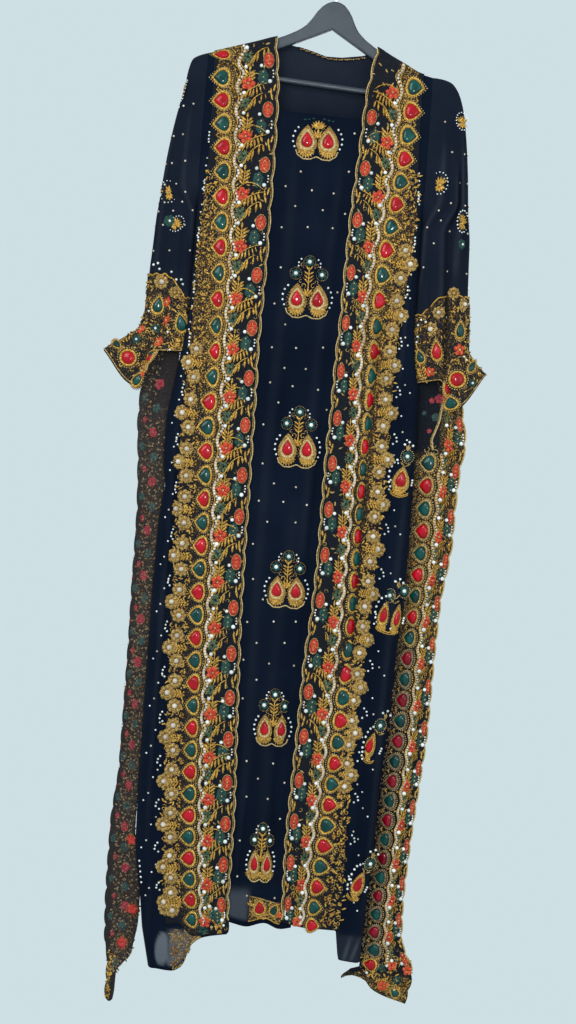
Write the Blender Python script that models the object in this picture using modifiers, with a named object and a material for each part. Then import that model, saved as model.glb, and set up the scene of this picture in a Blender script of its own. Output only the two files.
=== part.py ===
"""An open-fronted kaftan with embroidered borders, hanging on a clothes hanger.

Metres, +Z up. +X is the wearer's left and the front faces -Y. The origin is the point where the
hook's wire rests on its rail. A cloth is a grid of points in rows down the garment, and what is
sewn on a cloth is made from that cloth's own points, moved out.
"""
import math

import bmesh
import bpy
import numpy as np

# Walls, and the gap left between two pieces that touch
GAP = 0.0003
CLOTH = 0.0012
BAND = 0.0020
MOTIF = 0.0016
CUFF = 0.0018
CUFF_GAP = 0.0005

# Hanger
WIRE_RADIUS = 0.0019
HOOK_INNER_RADIUS = 0.019
STEM_BEND_Z = -0.056
HUMP_TOP_Z = -0.075
HANGER_TILT = math.radians(4.0)
ARM_HALF_DEPTH = 0.006
ARM_ROUNDING = 0.003
ARM_END_X = 0.205
ARM_TIP_BOTTOM = -0.152
BAR_RADIUS = 0.0048
BAR_DROP = 0.1445
TIP_INNER_X = 0.1955

# Relief of the embroidery
JEWEL_HEIGHT = 0.0040
RING_HEIGHT = 0.0018
FLOWER_HEIGHT = 0.0015
SCALLOP = 0.0030
ROSETTE = 0.0090
ROWS_PER_JEWEL = 2

# The right is the wearer's, at -X
SIGN = {"right": -1.0, "left": 1.0}


class Table:
    """Rows of named columns, read along the first one by a smooth curve that never overshoots."""

    def __init__(self, columns, *rows):
        self.names = columns.split()
        self.rows = np.array(sorted(rows), float)

    def read(self, name, at):
        key = self.rows[:, 0]
        value = self.rows[:, self.names.index(name)]
        step = np.diff(key)
        slope = np.diff(value) / step
        both = slope[1:] * slope[:-1]
        turning = both <= 0
        total = np.where(turning, 1.0, slope[1:] + slope[:-1])
        tangent = np.concatenate([slope[:1], np.where(turning, 0.0, 2 * both / total), slope[-1:]])
        at = np.clip(at, key[0], key[-1])
        i = np.clip(np.searchsorted(key, at, side="right") - 1, 0, len(step) - 1)
        t = (at - key[i]) / step[i]
        ends = value[i] * (1 + 2 * t) * (1 - t) ** 2 + value[i + 1] * t * t * (3 - 2 * t)
        return ends + step[i] * t * (1 - t) * (tangent[i] * (1 - t) - tangent[i + 1] * t)


# The hanger's arm in its own frame, from the top of the hump outwards and down
ARM = Table(
    "out top",
    (0.000, 0.0000), (0.010, -0.0022), (0.020, -0.0090), (0.031, -0.0230),
    (0.042, -0.0430), (0.060, -0.0590), (0.095, -0.0780), (0.205, -0.1220),
)
ARM_LOWER_EDGE = ((0.000, -0.0490), (0.060, -0.0810), (0.095, -0.0990), (0.188, -0.1350))

# The cloth's top line over the arms, and on past the neck, where it is a guide alone
SHOULDER = Table(
    "x z",
    (-0.211, -0.1785), (-0.160, -0.1628), (-0.098, -0.1430), (-0.060, -0.1262), (-0.040, -0.1112),
    (0.000, -0.0730), (0.040, -0.1172), (0.060, -0.1380), (0.078, -0.1503), (0.125, -0.1743),
    (0.150, -0.1870), (0.172, -0.1930),
)

# How far a panel stands from the middle: over the arm by its drop, and lower down by its height
OVER_ARM = Table(
    "drop depth",
    (0.0000, 0.00015), (0.0008, 0.0040), (0.0030, 0.0074), (0.0080, 0.0092), (2.0, 0.0092),
)
HANG = Table(
    "z depth",
    (-1.80, 0.0210), (-1.20, 0.0180), (-0.80, 0.0150), (-0.45, 0.0110),
    (-0.30, 0.0060), (-0.20, 0.0015), (-0.15, 0.0000),
)
SIDE_SEAM_STARTS = (-0.40, -0.46)

# Rows of every panel: drops over the arm, then heights the panels and the strips on them share
TOP_DROPS = (0.0, 0.0008, 0.0030, 0.0080, 0.0300)
LEVELS = np.array([
    -0.245, -0.32, -0.40, -0.42, -0.44, -0.46, -0.54, -0.62, -0.69, -0.73, -0.765, -0.80, -0.86,
    -0.92, -0.98, -1.08, -1.18, -1.30, -1.42, -1.53, -1.61,
])

# The fronts, as lines down the garment: the band's scalloped edge, its pearl line, its row of
# jewels and its outer edge, then the side seam
FRONT = {
    "right": Table(
        "z inner pearl jewel outer seam",
        (-0.150, -0.0990, -0.155, -0.190, -0.202, -0.2110),
        (-0.240, -0.0900, -0.155, -0.185, -0.199, -0.2110),
        (-0.340, -0.0880, -0.152, -0.175, -0.198, -0.2110),
        (-0.500, -0.0880, -0.148, -0.168, -0.204, -0.2110),
        (-0.690, -0.0915, -0.146, -0.163, -0.206, -0.2115),
        (-0.730, -0.0900, -0.145, -0.164, -0.208, -0.2165),
        (-0.800, -0.0900, -0.145, -0.168, -0.211, -0.2360),
        (-0.860, -0.0895, -0.145, -0.166, -0.210, -0.2370),
        (-0.920, -0.0890, -0.145, -0.164, -0.208, -0.2310),
        (-0.980, -0.0890, -0.144, -0.163, -0.206, -0.2370),
        (-1.100, -0.0880, -0.142, -0.162, -0.204, -0.2390),
        (-1.300, -0.0810, -0.138, -0.156, -0.199, -0.2390),
        (-1.500, -0.0740, -0.128, -0.149, -0.190, -0.2390),
        (-1.600, -0.0740, -0.120, -0.139, -0.182, -0.2245),
        (-1.660, -0.0700, -0.114, -0.131, -0.175, -0.2170),
        (-1.735, -0.0660, -0.110, -0.128, -0.168, -0.1990),
    ),
    "left": Table(
        "z inner pearl jewel outer seam",
        (-0.150, 0.0775, 0.118, 0.146, 0.158, 0.1720),
        (-0.240, 0.0640, 0.119, 0.143, 0.157, 0.1720),
        (-0.340, 0.0585, 0.114, 0.136, 0.159, 0.1720),
        (-0.420, 0.0530, 0.106, 0.127, 0.162, 0.1720),
        (-0.500, 0.0500, 0.100, 0.116, 0.159, 0.1720),
        (-0.600, 0.0480, 0.096, 0.109, 0.148, 0.1720),
        (-0.690, 0.0445, 0.092, 0.105, 0.142, 0.1720),
        (-0.770, 0.0435, 0.090, 0.104, 0.142, 0.1800),
        (-0.850, 0.0400, 0.088, 0.103, 0.141, 0.1900),
        (-1.000, 0.0390, 0.086, 0.102, 0.136, 0.1900),
        (-1.100, 0.0360, 0.084, 0.102, 0.131, 0.1880),
        (-1.200, 0.0290, 0.080, 0.101, 0.126, 0.1810),
        (-1.300, 0.0260, 0.075, 0.097, 0.121, 0.1770),
        (-1.400, 0.0230, 0.070, 0.090, 0.119, 0.1710),
        (-1.500, 0.0200, 0.062, 0.085, 0.119, 0.1690),
        (-1.600, 0.0220, 0.057, 0.076, 0.120, 0.1630),
        (-1.700, 0.0250, 0.054, 0.070, 0.118, 0.1580),
    ),
}
FRONT_HEM = {
    "right": Table(
        "x z",
        (-0.199, -1.735), (-0.165, -1.737), (-0.145, -1.728), (-0.128, -1.690),
        (-0.110, -1.677), (-0.066, -1.668),
    ),
    "left": Table("x z", (0.025, -1.645), (0.110, -1.645), (0.122, -1.698), (0.160, -1.702)),
}
BAND_HEM = {
    "right": Table(
        "x z",
        (-0.176, -1.662), (-0.152, -1.656), (-0.128, -1.675), (-0.110, -1.674), (-0.066, -1.665),
    ),
    "left": Table("x z", (0.020, -1.641), (0.060, -1.648), (0.118, -1.649)),
}

# Jewels counted down each band: the even ones are red, the odd ones teal
JEWELS = {
    "right": Table(
        "count z",
        (0, -0.182), (4, -0.340), (8, -0.510), (12, -0.687), (16, -0.857), (20, -1.017),
        (24, -1.173), (28, -1.325), (32, -1.473), (36, -1.615), (37, -1.648),
    ),
    "left": Table(
        "count z",
        (0, -0.172), (4, -0.338), (8, -0.495), (12, -0.668), (16, -0.829), (20, -0.982),
        (24, -1.135), (28, -1.295), (32, -1.438), (36, -1.578), (37, -1.613), (38, -1.643),
    ),
}
JEWEL_ROWS = {"right": (0.5, 36.5), "left": (1.0, 37.5)}
ROSETTE_PHASE = {"right": 0.7, "left": 1.0}
ROSETTES_START = {"right": -0.69, "left": -0.50}

# A band's lines, its relief on each, and where a panel needs columns
BAND_STATIONS = (0.0, 0.5, 1.0, 1.5, 2.0, 2.4, 3.0)
TURN = (0.0, 0.3, 0.6, 0.8, 1.0)
TURN_RADIUS = 0.010

CENTRE_TOP = Table("x z", (-0.113, -0.268), (0.075, -0.275))
CENTRE_HEM = Table(
    "x z",
    (-0.100, -1.642), (-0.070, -1.648), (-0.040, -1.655), (-0.008, -1.647), (0.015, -1.654),
    (0.045, -1.648),
)
TUCK = 0.014
CENTRE_SAG = Table("z depth", (-1.66, 0.0060), (-1.20, 0.0045), (-0.60, 0.0030), (-0.27, 0.0008))
CENTRE_FLAT = Table(
    "z start end",
    (-0.27, -0.058, 0.030), (-0.90, -0.050, 0.024), (-1.30, -0.050, 0.013), (-1.66, -0.046, 0.004),
)

BACK_NECK = Table(
    "x z",
    (-0.0930, -0.1500), (-0.060, -0.1535), (-0.035, -0.1595), (0.000, -0.1680), (0.030, -0.1660),
    (0.055, -0.1610), (0.0730, -0.1570),
)
NECK_WRAP_DROPS = (0.0, 0.0008, 0.0030, 0.0080)
NECK_WRAP_STEP = 0.0018
BACK_HEM_Z = -1.640
BACK_RIDGES = Table(
    "x height width",
    (-0.185, 0.0045, 0.016), (-0.128, 0.0065, 0.019), (-0.078, 0.0030, 0.015), (-0.022, 0.0070, 0.021),
    (0.036, 0.0040, 0.016), (0.092, 0.0065, 0.019), (0.148, 0.0040, 0.015),
)

# A sleeve's rows run from its seam with the body, or its inner side, out to the fold
SLEEVE = {
    "right": Table(
        "row inner_x inner_z fold_x fold_z dip",
        (0, -0.2113, -0.1785, -0.2130, -0.1795, 0.0), (1, -0.2113, -0.1795, -0.2270, -0.1840, 0.0),
        (2, -0.2113, -0.1820, -0.2370, -0.1905, 0.0), (3, -0.2113, -0.1900, -0.2425, -0.2060, 0.0),
        (4, -0.2113, -0.2300, -0.2480, -0.2400, 0.0), (5, -0.2113, -0.2900, -0.2600, -0.3000, 0.0),
        (6, -0.2113, -0.3500, -0.2690, -0.3600, 0.0), (7, -0.2116, -0.4000, -0.2740, -0.4080, 0.0),
        (8, -0.2128, -0.4200, -0.2757, -0.4270, 0.0), (9, -0.2141, -0.4400, -0.2775, -0.4460, 0.0),
        (10, -0.2150, -0.4600, -0.2795, -0.4650, 0.0), (11, -0.2158, -0.5100, -0.2820, -0.5150, 0.0),
        (12, -0.2160, -0.5550, -0.2845, -0.5600, 0.0), (13, -0.2160, -0.6000, -0.2850, -0.6150, 0.0),
        (14, -0.2165, -0.6350, -0.2930, -0.6520, 0.006), (15, -0.2175, -0.6650, -0.3200, -0.6750, 0.028),
        (16, -0.2190, -0.6900, -0.3530, -0.6970, 0.058),
    ),
    "left": Table(
        "row inner_x inner_z fold_x fold_z dip",
        (0, 0.1723, -0.1930, 0.1740, -0.1932, 0.0), (1, 0.1723, -0.1940, 0.1900, -0.1945, 0.0),
        (2, 0.1723, -0.1965, 0.2050, -0.1990, 0.0), (3, 0.1723, -0.2045, 0.2170, -0.2120, 0.0),
        (4, 0.1723, -0.2350, 0.2280, -0.2400, 0.0), (5, 0.1723, -0.2900, 0.2380, -0.2950, 0.0),
        (6, 0.1723, -0.3500, 0.2450, -0.3550, 0.0), (7, 0.1726, -0.4000, 0.2492, -0.4060, 0.0),
        (8, 0.1738, -0.4200, 0.2510, -0.4260, 0.0), (9, 0.1751, -0.4400, 0.2535, -0.4450, 0.0),
        (10, 0.1760, -0.4600, 0.2560, -0.4650, 0.0), (11, 0.1765, -0.5100, 0.2580, -0.5150, 0.0),
        (12, 0.1768, -0.5550, 0.2600, -0.5600, 0.0), (13, 0.1772, -0.6000, 0.2645, -0.6100, 0.0),
        (14, 0.1780, -0.6450, 0.2665, -0.6520, 0.004), (15, 0.1830, -0.6850, 0.2790, -0.6730, 0.024),
        (16, 0.1920, -0.7150, 0.3000, -0.6930, 0.052),
    ),
}
SLEEVE_COLUMNS = 18
SLEEVE_HALF_DEPTH = 0.0165
SLEEVE_GROOVES = {
    "right": ((0.30, 0.045, 0.0045), (0.72, 0.050, 0.0040)),
    "left": ((0.27, 0.045, 0.0065), (0.70, 0.050, 0.0040)),
}
GROOVES_START, GROOVES_FULL = -0.26, -0.48
MOUTH_DIP = Table("across amount", (0.0, 0.0), (0.30, 0.0), (0.60, 1.0), (1.0, 0.0))
CUFF_ROWS = (12.0, 13.0, 14.0, 15.0, 15.97)
CUFF_JEWEL_ROW, CUFF_JEWELS_ROUND = 13.4, 6

# A side border hangs from the side seam outwards; its right side faces back at -X, front at +X
BORDER = {
    "right": Table(
        "z inner outer middle_y outer_y",
        (-0.662, -0.2240, -0.2740, 0.0000, 0.0010), (-0.690, -0.2240, -0.2780, 0.0010, 0.0020),
        (-0.730, -0.2225, -0.2820, 0.0010, 0.0030), (-0.765, -0.2275, -0.2850, 0.0020, 0.0050),
        (-0.810, -0.2365, -0.2860, 0.0040, 0.0080), (-0.860, -0.2370, -0.2825, 0.0045, 0.0100),
        (-0.920, -0.2325, -0.2785, 0.0050, 0.0090), (-0.980, -0.2370, -0.2760, 0.0040, 0.0080),
        (-1.100, -0.2390, -0.2755, 0.0020, 0.0070), (-1.200, -0.2390, -0.2745, 0.0030, 0.0100),
        (-1.400, -0.2390, -0.2750, 0.0060, 0.0120), (-1.500, -0.2395, -0.2820, 0.0050, 0.0060),
        (-1.560, -0.2320, -0.2820, 0.0030, 0.0040), (-1.620, -0.2230, -0.2815, 0.0010, 0.0040),
        (-1.660, -0.2228, -0.2800, 0.0000, 0.0050), (-1.700, -0.2280, -0.2775, 0.0010, 0.0060),
        (-1.722, -0.2320, -0.2725, 0.0020, 0.0060), (-1.738, -0.2450, -0.2710, 0.0030, 0.0060),
        (-1.752, -0.2545, -0.2705, 0.0040, 0.0060), (-1.785, -0.2555, -0.2705, 0.0050, 0.0060),
        (-1.806, -0.2585, -0.2690, 0.0060, 0.0060),
    ),
    "left": Table(
        "z inner outer middle_y outer_y",
        (-0.695, 0.2000, 0.2540, 0.0000, -0.0010), (-0.712, 0.1995, 0.2560, 0.0000, -0.0010),
        (-0.732, 0.1880, 0.2600, -0.0010, -0.0020), (-0.770, 0.1810, 0.2680, -0.0020, -0.0030),
        (-0.815, 0.1870, 0.2740, -0.0050, -0.0060), (-0.860, 0.1900, 0.2680, -0.0080, -0.0060),
        (-0.920, 0.1900, 0.2650, -0.0100, -0.0060), (-0.980, 0.1900, 0.2640, -0.0100, -0.0060),
        (-1.020, 0.1900, 0.2600, -0.0100, -0.0060), (-1.080, 0.1885, 0.2520, -0.0100, -0.0030),
        (-1.180, 0.1820, 0.2480, -0.0090, -0.0010), (-1.300, 0.1770, 0.2455, -0.0100, -0.0020),
        (-1.400, 0.1710, 0.2380, -0.0110, -0.0030), (-1.500, 0.1690, 0.2300, -0.0110, -0.0030),
        (-1.600, 0.1630, 0.2255, -0.0100, -0.0020), (-1.660, 0.1600, 0.2275, -0.0090, -0.0020),
        (-1.688, 0.1588, 0.2380, -0.0080, -0.0030), (-1.704, 0.1590, 0.2470, -0.0070, -0.0040),
        (-1.716, 0.1590, 0.2485, -0.0070, -0.0050), (-1.724, 0.1450, 0.2485, -0.0070, -0.0055),
        (-1.733, 0.1290, 0.2480, -0.0070, -0.0060), (-1.770, 0.1290, 0.2400, -0.0070, -0.0060),
    ),
}
BORDER_LOW_LEVELS = {
    "right": (-1.66, -1.70, -1.722, -1.738, -1.752, -1.785),
    "left": (-1.65, -1.68, -1.702, -1.712),
}
BORDER_HEM = {
    "right": Table("across z", (0.0, -1.800), (0.5, -1.806), (1.0, -1.800)),
    "left": Table(
        "across z",
        (0.0, -1.733), (0.20, -1.722), (0.32, -1.728), (0.45, -1.748), (0.64, -1.758), (1.0, -1.770),
    ),
}
BORDER_JEWELS = {
    "right": Table(
        "count z",
        (0, -0.665), (4, -0.830), (8, -0.998), (12, -1.150), (16, -1.295), (20, -1.435),
        (24, -1.575), (28, -1.705), (31, -1.798),
    ),
    "left": Table(
        "count z",
        (-1, -0.690), (0, -0.728), (4, -0.888), (8, -1.040), (12, -1.183), (16, -1.325), (20, -1.460),
        (24, -1.590), (28, -1.713), (30, -1.775),
    ),
}
BORDER_ROWS = {"right": (0.5, 30.0), "left": (-0.5, 28.0)}
BORDER_STATIONS = (0.0, 0.20, 0.40, 0.70, 1.0)

# Motifs: middle, half width and half height
CENTRE_MOTIFS = (
    (-0.0150, -0.316, 0.0400, 0.037), (-0.0130, -0.560, 0.0370, 0.055), (-0.0110, -0.815, 0.0340, 0.054),
    (-0.0120, -1.058, 0.0330, 0.050), (-0.0180, -1.293, 0.0280, 0.050), (-0.0220, -1.522, 0.0210, 0.052),
)
FRONT_MOTIFS = (
    (0.1640, -0.866, 0.0125, 0.048), (0.1630, -1.093, 0.0130, 0.047), (0.1500, -1.320, 0.0130, 0.047),
    (0.1430, -1.553, 0.0120, 0.048),
)
MOTIF_HALF_WIDTH = Table(
    "up width",
    (-1.0, 0.62), (-0.75, 1.00), (-0.30, 1.00), (0.10, 0.78), (0.30, 0.62), (0.70, 0.60), (1.0, 0.28),
)
DROP_AT, DROP_RADIUS, DROP_HEIGHT = (0.45, -0.40), 0.45, 0.0028

# Colours: linear base colour, roughness, metallic
FINISH = {
    "cloth": ((0.010, 0.016, 0.030), 0.75, 0.0),
    "embroidery": ((0.48, 0.29, 0.09), 0.45, 0.5),
    "binding": ((0.020, 0.026, 0.042), 0.50, 0.0),
    "moulding": ((0.055, 0.075, 0.100), 0.45, 0.0),
    "wire": ((0.62, 0.63, 0.65), 0.28, 1.0),
}


def clear_scene():
    for obj in list(bpy.data.objects):
        bpy.data.objects.remove(obj, do_unlink=True)


def material(name, finish):
    colour, roughness, metallic = FINISH[finish]
    made = bpy.data.materials.new(name)
    made.use_nodes = True
    shader = made.node_tree.nodes["Principled BSDF"]
    shader.inputs["Base Color"].default_value = (*colour, 1.0)
    shader.inputs["Roughness"].default_value = roughness
    shader.inputs["Metallic"].default_value = metallic
    return made


def place(name, data, finish, collection):
    obj = bpy.data.objects.new(name, data)
    collection.objects.link(obj)
    data.materials.append(material(name, finish))
    return obj


def grid_faces(rows, columns):
    corner = np.arange(rows * columns).reshape(rows, columns)
    quads = np.stack([corner[:-1, :-1], corner[1:, :-1], corner[1:, 1:], corner[:-1, 1:]], axis=-1)
    return quads.reshape(-1, 4)


def sheet(name, points, thickness, finish, collection):
    """A cloth of even thickness: the grid of points is the middle of its wall."""
    rows, columns = points.shape[:2]
    mesh = bpy.data.meshes.new(name)
    mesh.from_pydata(points.reshape(-1, 3).tolist(), [], grid_faces(rows, columns).tolist())
    mesh.shade_smooth()
    obj = place(name, mesh, finish, collection)
    wall = obj.modifiers.new("wall", "SOLIDIFY")
    wall.thickness = thickness
    wall.offset = 0.0
    wall.use_even_offset = True
    return obj


def outwards(points):
    """Normals at the grid's points, longer at a fold, so that moved faces keep their distance."""
    face = np.cross(points[1:, :-1] - points[:-1, 1:], points[1:, 1:] - points[:-1, :-1])
    face /= np.linalg.norm(face, axis=-1, keepdims=True)
    framed = np.zeros((points.shape[0] + 1, points.shape[1] + 1, 3))
    framed[1:-1, 1:-1] = face
    around = np.stack([framed[:-1, :-1], framed[1:, :-1], framed[:-1, 1:], framed[1:, 1:]])
    normal = around.sum(axis=0)
    normal /= np.linalg.norm(normal, axis=-1, keepdims=True)
    there = np.linalg.norm(around, axis=-1) > 0.5
    facing = np.where(there, (around * normal).sum(axis=-1), 1.0).min(axis=0)
    return normal / np.clip(facing, 0.5, 1.0)[..., None]


def moved(points, distance):
    """The grid moved out along its normals by one distance, or by one for each point."""
    return points + outwards(points) * np.asarray(distance)[..., None]


def reach(row):
    """How far along its row each vertex lies, from 0 to 1."""
    points = np.array([vertex.co[:] for vertex in row])
    steps = np.linalg.norm(np.diff(points, axis=0), axis=1)
    return np.concatenate([[0.0], np.cumsum(steps)]) / steps.sum()


def stitch(bm, first, second):
    """Faces between two rows of vertices that start and end side by side."""
    reach_first, reach_second = reach(first), reach(second)
    i = j = 0
    while i < len(first) - 1 or j < len(second) - 1:
        next_first = reach_first[i + 1] if i < len(first) - 1 else 2.0
        next_second = reach_second[j + 1] if j < len(second) - 1 else 2.0
        if next_first <= next_second:
            bm.faces.new((first[i], first[i + 1], second[j]))
            i += 1
        else:
            bm.faces.new((second[j], first[i], second[j + 1]))
            j += 1


def raised_wall(name, inside, outside, finish, collection):
    """A closed wall with a plain inner grid and an outer grid of more rows, which holds the relief."""
    bm = bmesh.new()
    skins = []
    for points in (inside, outside):
        rows, columns = points.shape[:2]
        corners = [bm.verts.new(point) for point in points.reshape(-1, 3).tolist()]
        for face in grid_faces(rows, columns):
            bm.faces.new([corners[k] for k in face])
        skins.append(np.array(corners, dtype=object).reshape(rows, columns))
    inner, outer = skins
    for edge in ((slice(None), 0), (slice(None), -1), (0, slice(None)), (-1, slice(None))):
        stitch(bm, list(inner[edge]), list(outer[edge]))
    bmesh.ops.recalc_face_normals(bm, faces=bm.faces)
    mesh = bpy.data.meshes.new(name)
    bm.to_mesh(mesh)
    bm.free()
    mesh.shade_smooth()
    mesh.set_sharp_from_angle(angle=math.radians(50))
    return place(name, mesh, finish, collection)


def side_closed(z):
    """0 where the body is open to the sleeve, 1 where its side is closed by the seam."""
    t = np.clip((SIDE_SEAM_STARTS[0] - z) / (SIDE_SEAM_STARTS[0] - SIDE_SEAM_STARTS[1]), 0, 1)
    return t * t * (3 - 2 * t)


def line_at(side, station, z):
    """x on one of a front's lines, 0 to 3 from the scalloped edge to the band's outer edge."""
    names = ("inner", "pearl", "jewel", "outer")
    low = min(int(station), 2)
    share = station - low
    near = FRONT[side].read(names[low], z)
    far = FRONT[side].read(names[low + 1], z)
    return near + (far - near) * share


def seam_line(side, z):
    """The side seam, straight from level to level."""
    knots = np.append(LEVELS, [-1.67, -1.74])[::-1]
    return np.interp(z, knots, FRONT[side].read("seam", knots))


def side_turn(side, share, z, depth, radius):
    """x, and the distance from the middle, on a panel's turn to its side seam."""
    turn = radius * SIGN[side]
    angle = share * math.pi / 2
    start = seam_line(side, z) - turn
    closed_x = start + turn * min(1.0, math.sin(angle) / math.sin(0.4 * math.pi))
    closed_depth = GAP / 2 + (depth - GAP / 2) * math.cos(angle)
    closed = side_closed(z)
    open_x = start + turn * share
    return open_x + (closed_x - open_x) * closed, depth + (closed_depth - depth) * closed


def front_column(side, station, z, depth):
    """x and depth of a front panel: flat as far as its turn, then round to the side seam."""
    if station <= 3.0:
        return line_at(side, station, z), depth
    outer = FRONT[side].read("outer", z)
    radius = np.minimum(TURN_RADIUS, 0.7 * np.abs(seam_line(side, z) - outer))
    if station < 4.0:
        end = seam_line(side, z) - radius * SIGN[side]
        return outer + (end - outer) * (station - 3.0), depth
    return side_turn(side, station - 4.0, z, depth, radius)


def panel_rows(top, hem):
    """Heights of a column's rows, from its top over the arm down to its hem."""
    over_arm = top - np.array(TOP_DROPS)
    return np.concatenate([over_arm, LEVELS, [(LEVELS[-1] + hem) / 2, hem]])


def panel_depth(top, z):
    return OVER_ARM.read("depth", top - z) + HANG.read("depth", z)


def front_top(side, station):
    x = front_column(side, station, np.array(-0.17), 0.0)[0]
    return float(SHOULDER.read("z", x))


def front_hem(side, station, hem):
    x = front_column(side, station, np.array(-1.68), 0.0)[0]
    return float(hem.read("z", x))


def front_grid(side, stations, rows_of, hem):
    """A front's grid: a column at each station, with the rows that rows_of gives it."""
    columns = []
    for station in stations:
        top = front_top(side, station)
        z = rows_of(top, front_hem(side, station, hem))
        x, depth = front_column(side, station, z, panel_depth(top, z))
        columns.append(np.stack([x, -depth, z], axis=-1))
    grid = np.stack(columns, axis=1)
    return grid if side == "left" else grid[:, ::-1]


def front_panel(side, collection):
    stations = BAND_STATIONS + (3.5,) + tuple(4.0 + share for share in TURN)
    points = front_grid(side, stations, panel_rows, FRONT_HEM[side])
    return sheet(f"front_{side}", points, CLOTH, "cloth", collection)


def bell(distance, width):
    return np.exp(-((distance / width) ** 2))


def ease(share):
    share = np.clip(share, 0, 1)
    return share * share * (3 - 2 * share)


def jewel_rows(jewels, first, last, top_ref, hem_ref):
    """A function for a column's rows on the jewels' heights, eased to its own top and hem."""
    counts = np.arange(first, last + 0.01, 1 / ROWS_PER_JEWEL)
    level = jewels.read("z", counts)

    def rows_of(top, hem):
        z = level + (top - top_ref) * ease(1 - (top_ref - level) / 0.20)
        z = z + (hem - hem_ref) * ease(1 - (level - hem_ref) / 0.12)
        return np.concatenate([top - np.array(TOP_DROPS[:4]), z, [hem]])
    return counts, rows_of


def band_relief(count):
    """Height of the embroidery in each row: flowers, a pearl line, and jewels in their rings."""
    jewel = np.cos(np.pi * count) ** 2
    flower = np.sin(np.pi * (count / 2 + 0.3)) ** 2
    flat = 0 * count
    heights = [
        flat, FLOWER_HEIGHT * flower, FLOWER_HEIGHT * 0.6 + flat, RING_HEIGHT * jewel,
        JEWEL_HEIGHT * jewel, RING_HEIGHT * jewel, flat,
    ]
    return np.stack(heights, axis=1)


def front_band(side, collection):
    """The band on a front's opening edge, with scallops inside and rosettes outside."""
    top_ref = front_top(side, 2.0)
    hem_ref = front_hem(side, 2.0, BAND_HEM[side])
    first, last = JEWEL_ROWS[side]
    counts, rows_of = jewel_rows(JEWELS[side], first, last, top_ref, hem_ref)
    inside = front_grid(side, BAND_STATIONS, panel_rows, BAND_HEM[side])
    outside = front_grid(side, BAND_STATIONS, rows_of, BAND_HEM[side])
    count = np.concatenate([[first - 0.5] * 4, counts, [last + 0.5]])
    relief = band_relief(count)
    relief[:4] = relief[-1] = 0.0
    if side == "right":
        relief = relief[:, ::-1]
    base = CLOTH / 2 + GAP
    inside = moved(inside, base)
    outside = moved(outside, base + BAND + relief)
    inner_column, outer_column = (0, -1) if side == "left" else (-1, 0)
    scallop = SCALLOP * (0.5 + 0.5 * np.cos(np.pi * (count - 0.4)))
    bulge = np.clip(np.cos(np.pi * (count - ROSETTE_PHASE[side])), 0, 1) ** 2
    bulge = ROSETTE * bulge * (outside[:, outer_column, 2] < ROSETTES_START[side])
    outside[4:-1, inner_column, 0] -= SIGN[side] * scallop[4:-1]
    outside[4:-1, outer_column, 0] += SIGN[side] * bulge[4:-1]
    return raised_wall(f"band_{side}", inside, outside, "embroidery", collection)


def centre_y(x, z):
    """The inset's middle: against the fronts where it is tucked, and a little behind between them."""
    against = -(OVER_ARM.read("depth", 1.0) + HANG.read("depth", z)) + CLOTH + GAP
    left_line = FRONT["right"].read("inner", z)
    right_line = FRONT["left"].read("inner", z)
    start = CENTRE_FLAT.read("start", z)
    end = CENTRE_FLAT.read("end", z)
    share = np.clip(np.minimum((x - left_line) / (start - left_line), (right_line - x) / (right_line - end)), 0, 1)
    return against + CENTRE_SAG.read("depth", z) * share


def centre_panel(collection):
    """The inset's grid, with columns on the tucks, the fronts' edges and the flat that holds the motifs."""
    levels = LEVELS[LEVELS < -0.30]
    columns = []
    for station in (0.0, 1.0, 1.5, 2.0, 2.5, 3.0, 3.5, 4.0, 5.0):
        def x_at(z, station=station):
            lines = (
                FRONT["right"].read("inner", z) - TUCK, FRONT["right"].read("inner", z),
                CENTRE_FLAT.read("start", z), CENTRE_FLAT.read("end", z),
                FRONT["left"].read("inner", z), FRONT["left"].read("inner", z) + TUCK,
            )
            low = min(int(station), 4)
            return lines[low] + (lines[low + 1] - lines[low]) * (station - low)
        top = CENTRE_TOP.read("z", x_at(np.array(-0.27)))
        bottom = CENTRE_HEM.read("z", x_at(np.array(-1.64)))
        z = np.concatenate([[top], levels, [bottom]])
        x = x_at(z)
        columns.append(np.stack([x, centre_y(x, z), z], axis=-1))
    return sheet("centre_inset", np.stack(columns, axis=1), CLOTH, "cloth", collection)


def back_folds(x, z):
    """Soft upright ridges, which start below the shoulders and deepen towards the hem."""
    grow = np.clip((-0.20 - z) / 1.2, 0, 1) ** 0.7
    ridges = sum(height * bell(x - at, width) for at, height, width in BACK_RIDGES.rows)
    return ridges * grow


def back_tops():
    """Places of the back's columns on the shoulders and the neckline, and each one's top edge."""
    right = np.linspace(-0.211 + TURN_RADIUS, -0.098, 5)[1:]
    left = np.linspace(0.078, 0.172 - TURN_RADIUS, 5)[:-1]
    neck = np.linspace(-0.072, 0.052, 5)
    wrap = NECK_WRAP_STEP * np.arange(1, len(NECK_WRAP_DROPS))
    x = np.concatenate([right, right[-1] + wrap, neck, left[0] - wrap[::-1], left])
    shoulder = SHOULDER.read("z", x)
    top = shoulder.copy()
    first = len(right) - 1
    last = len(x) - len(left)
    for step, drop in enumerate(NECK_WRAP_DROPS):
        top[first + step] -= drop
        top[last - step] -= drop
    middle = slice(first + len(NECK_WRAP_DROPS), last - len(NECK_WRAP_DROPS) + 1)
    top[middle] = BACK_NECK.read("z", x[middle])
    return x, shoulder, top


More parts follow.
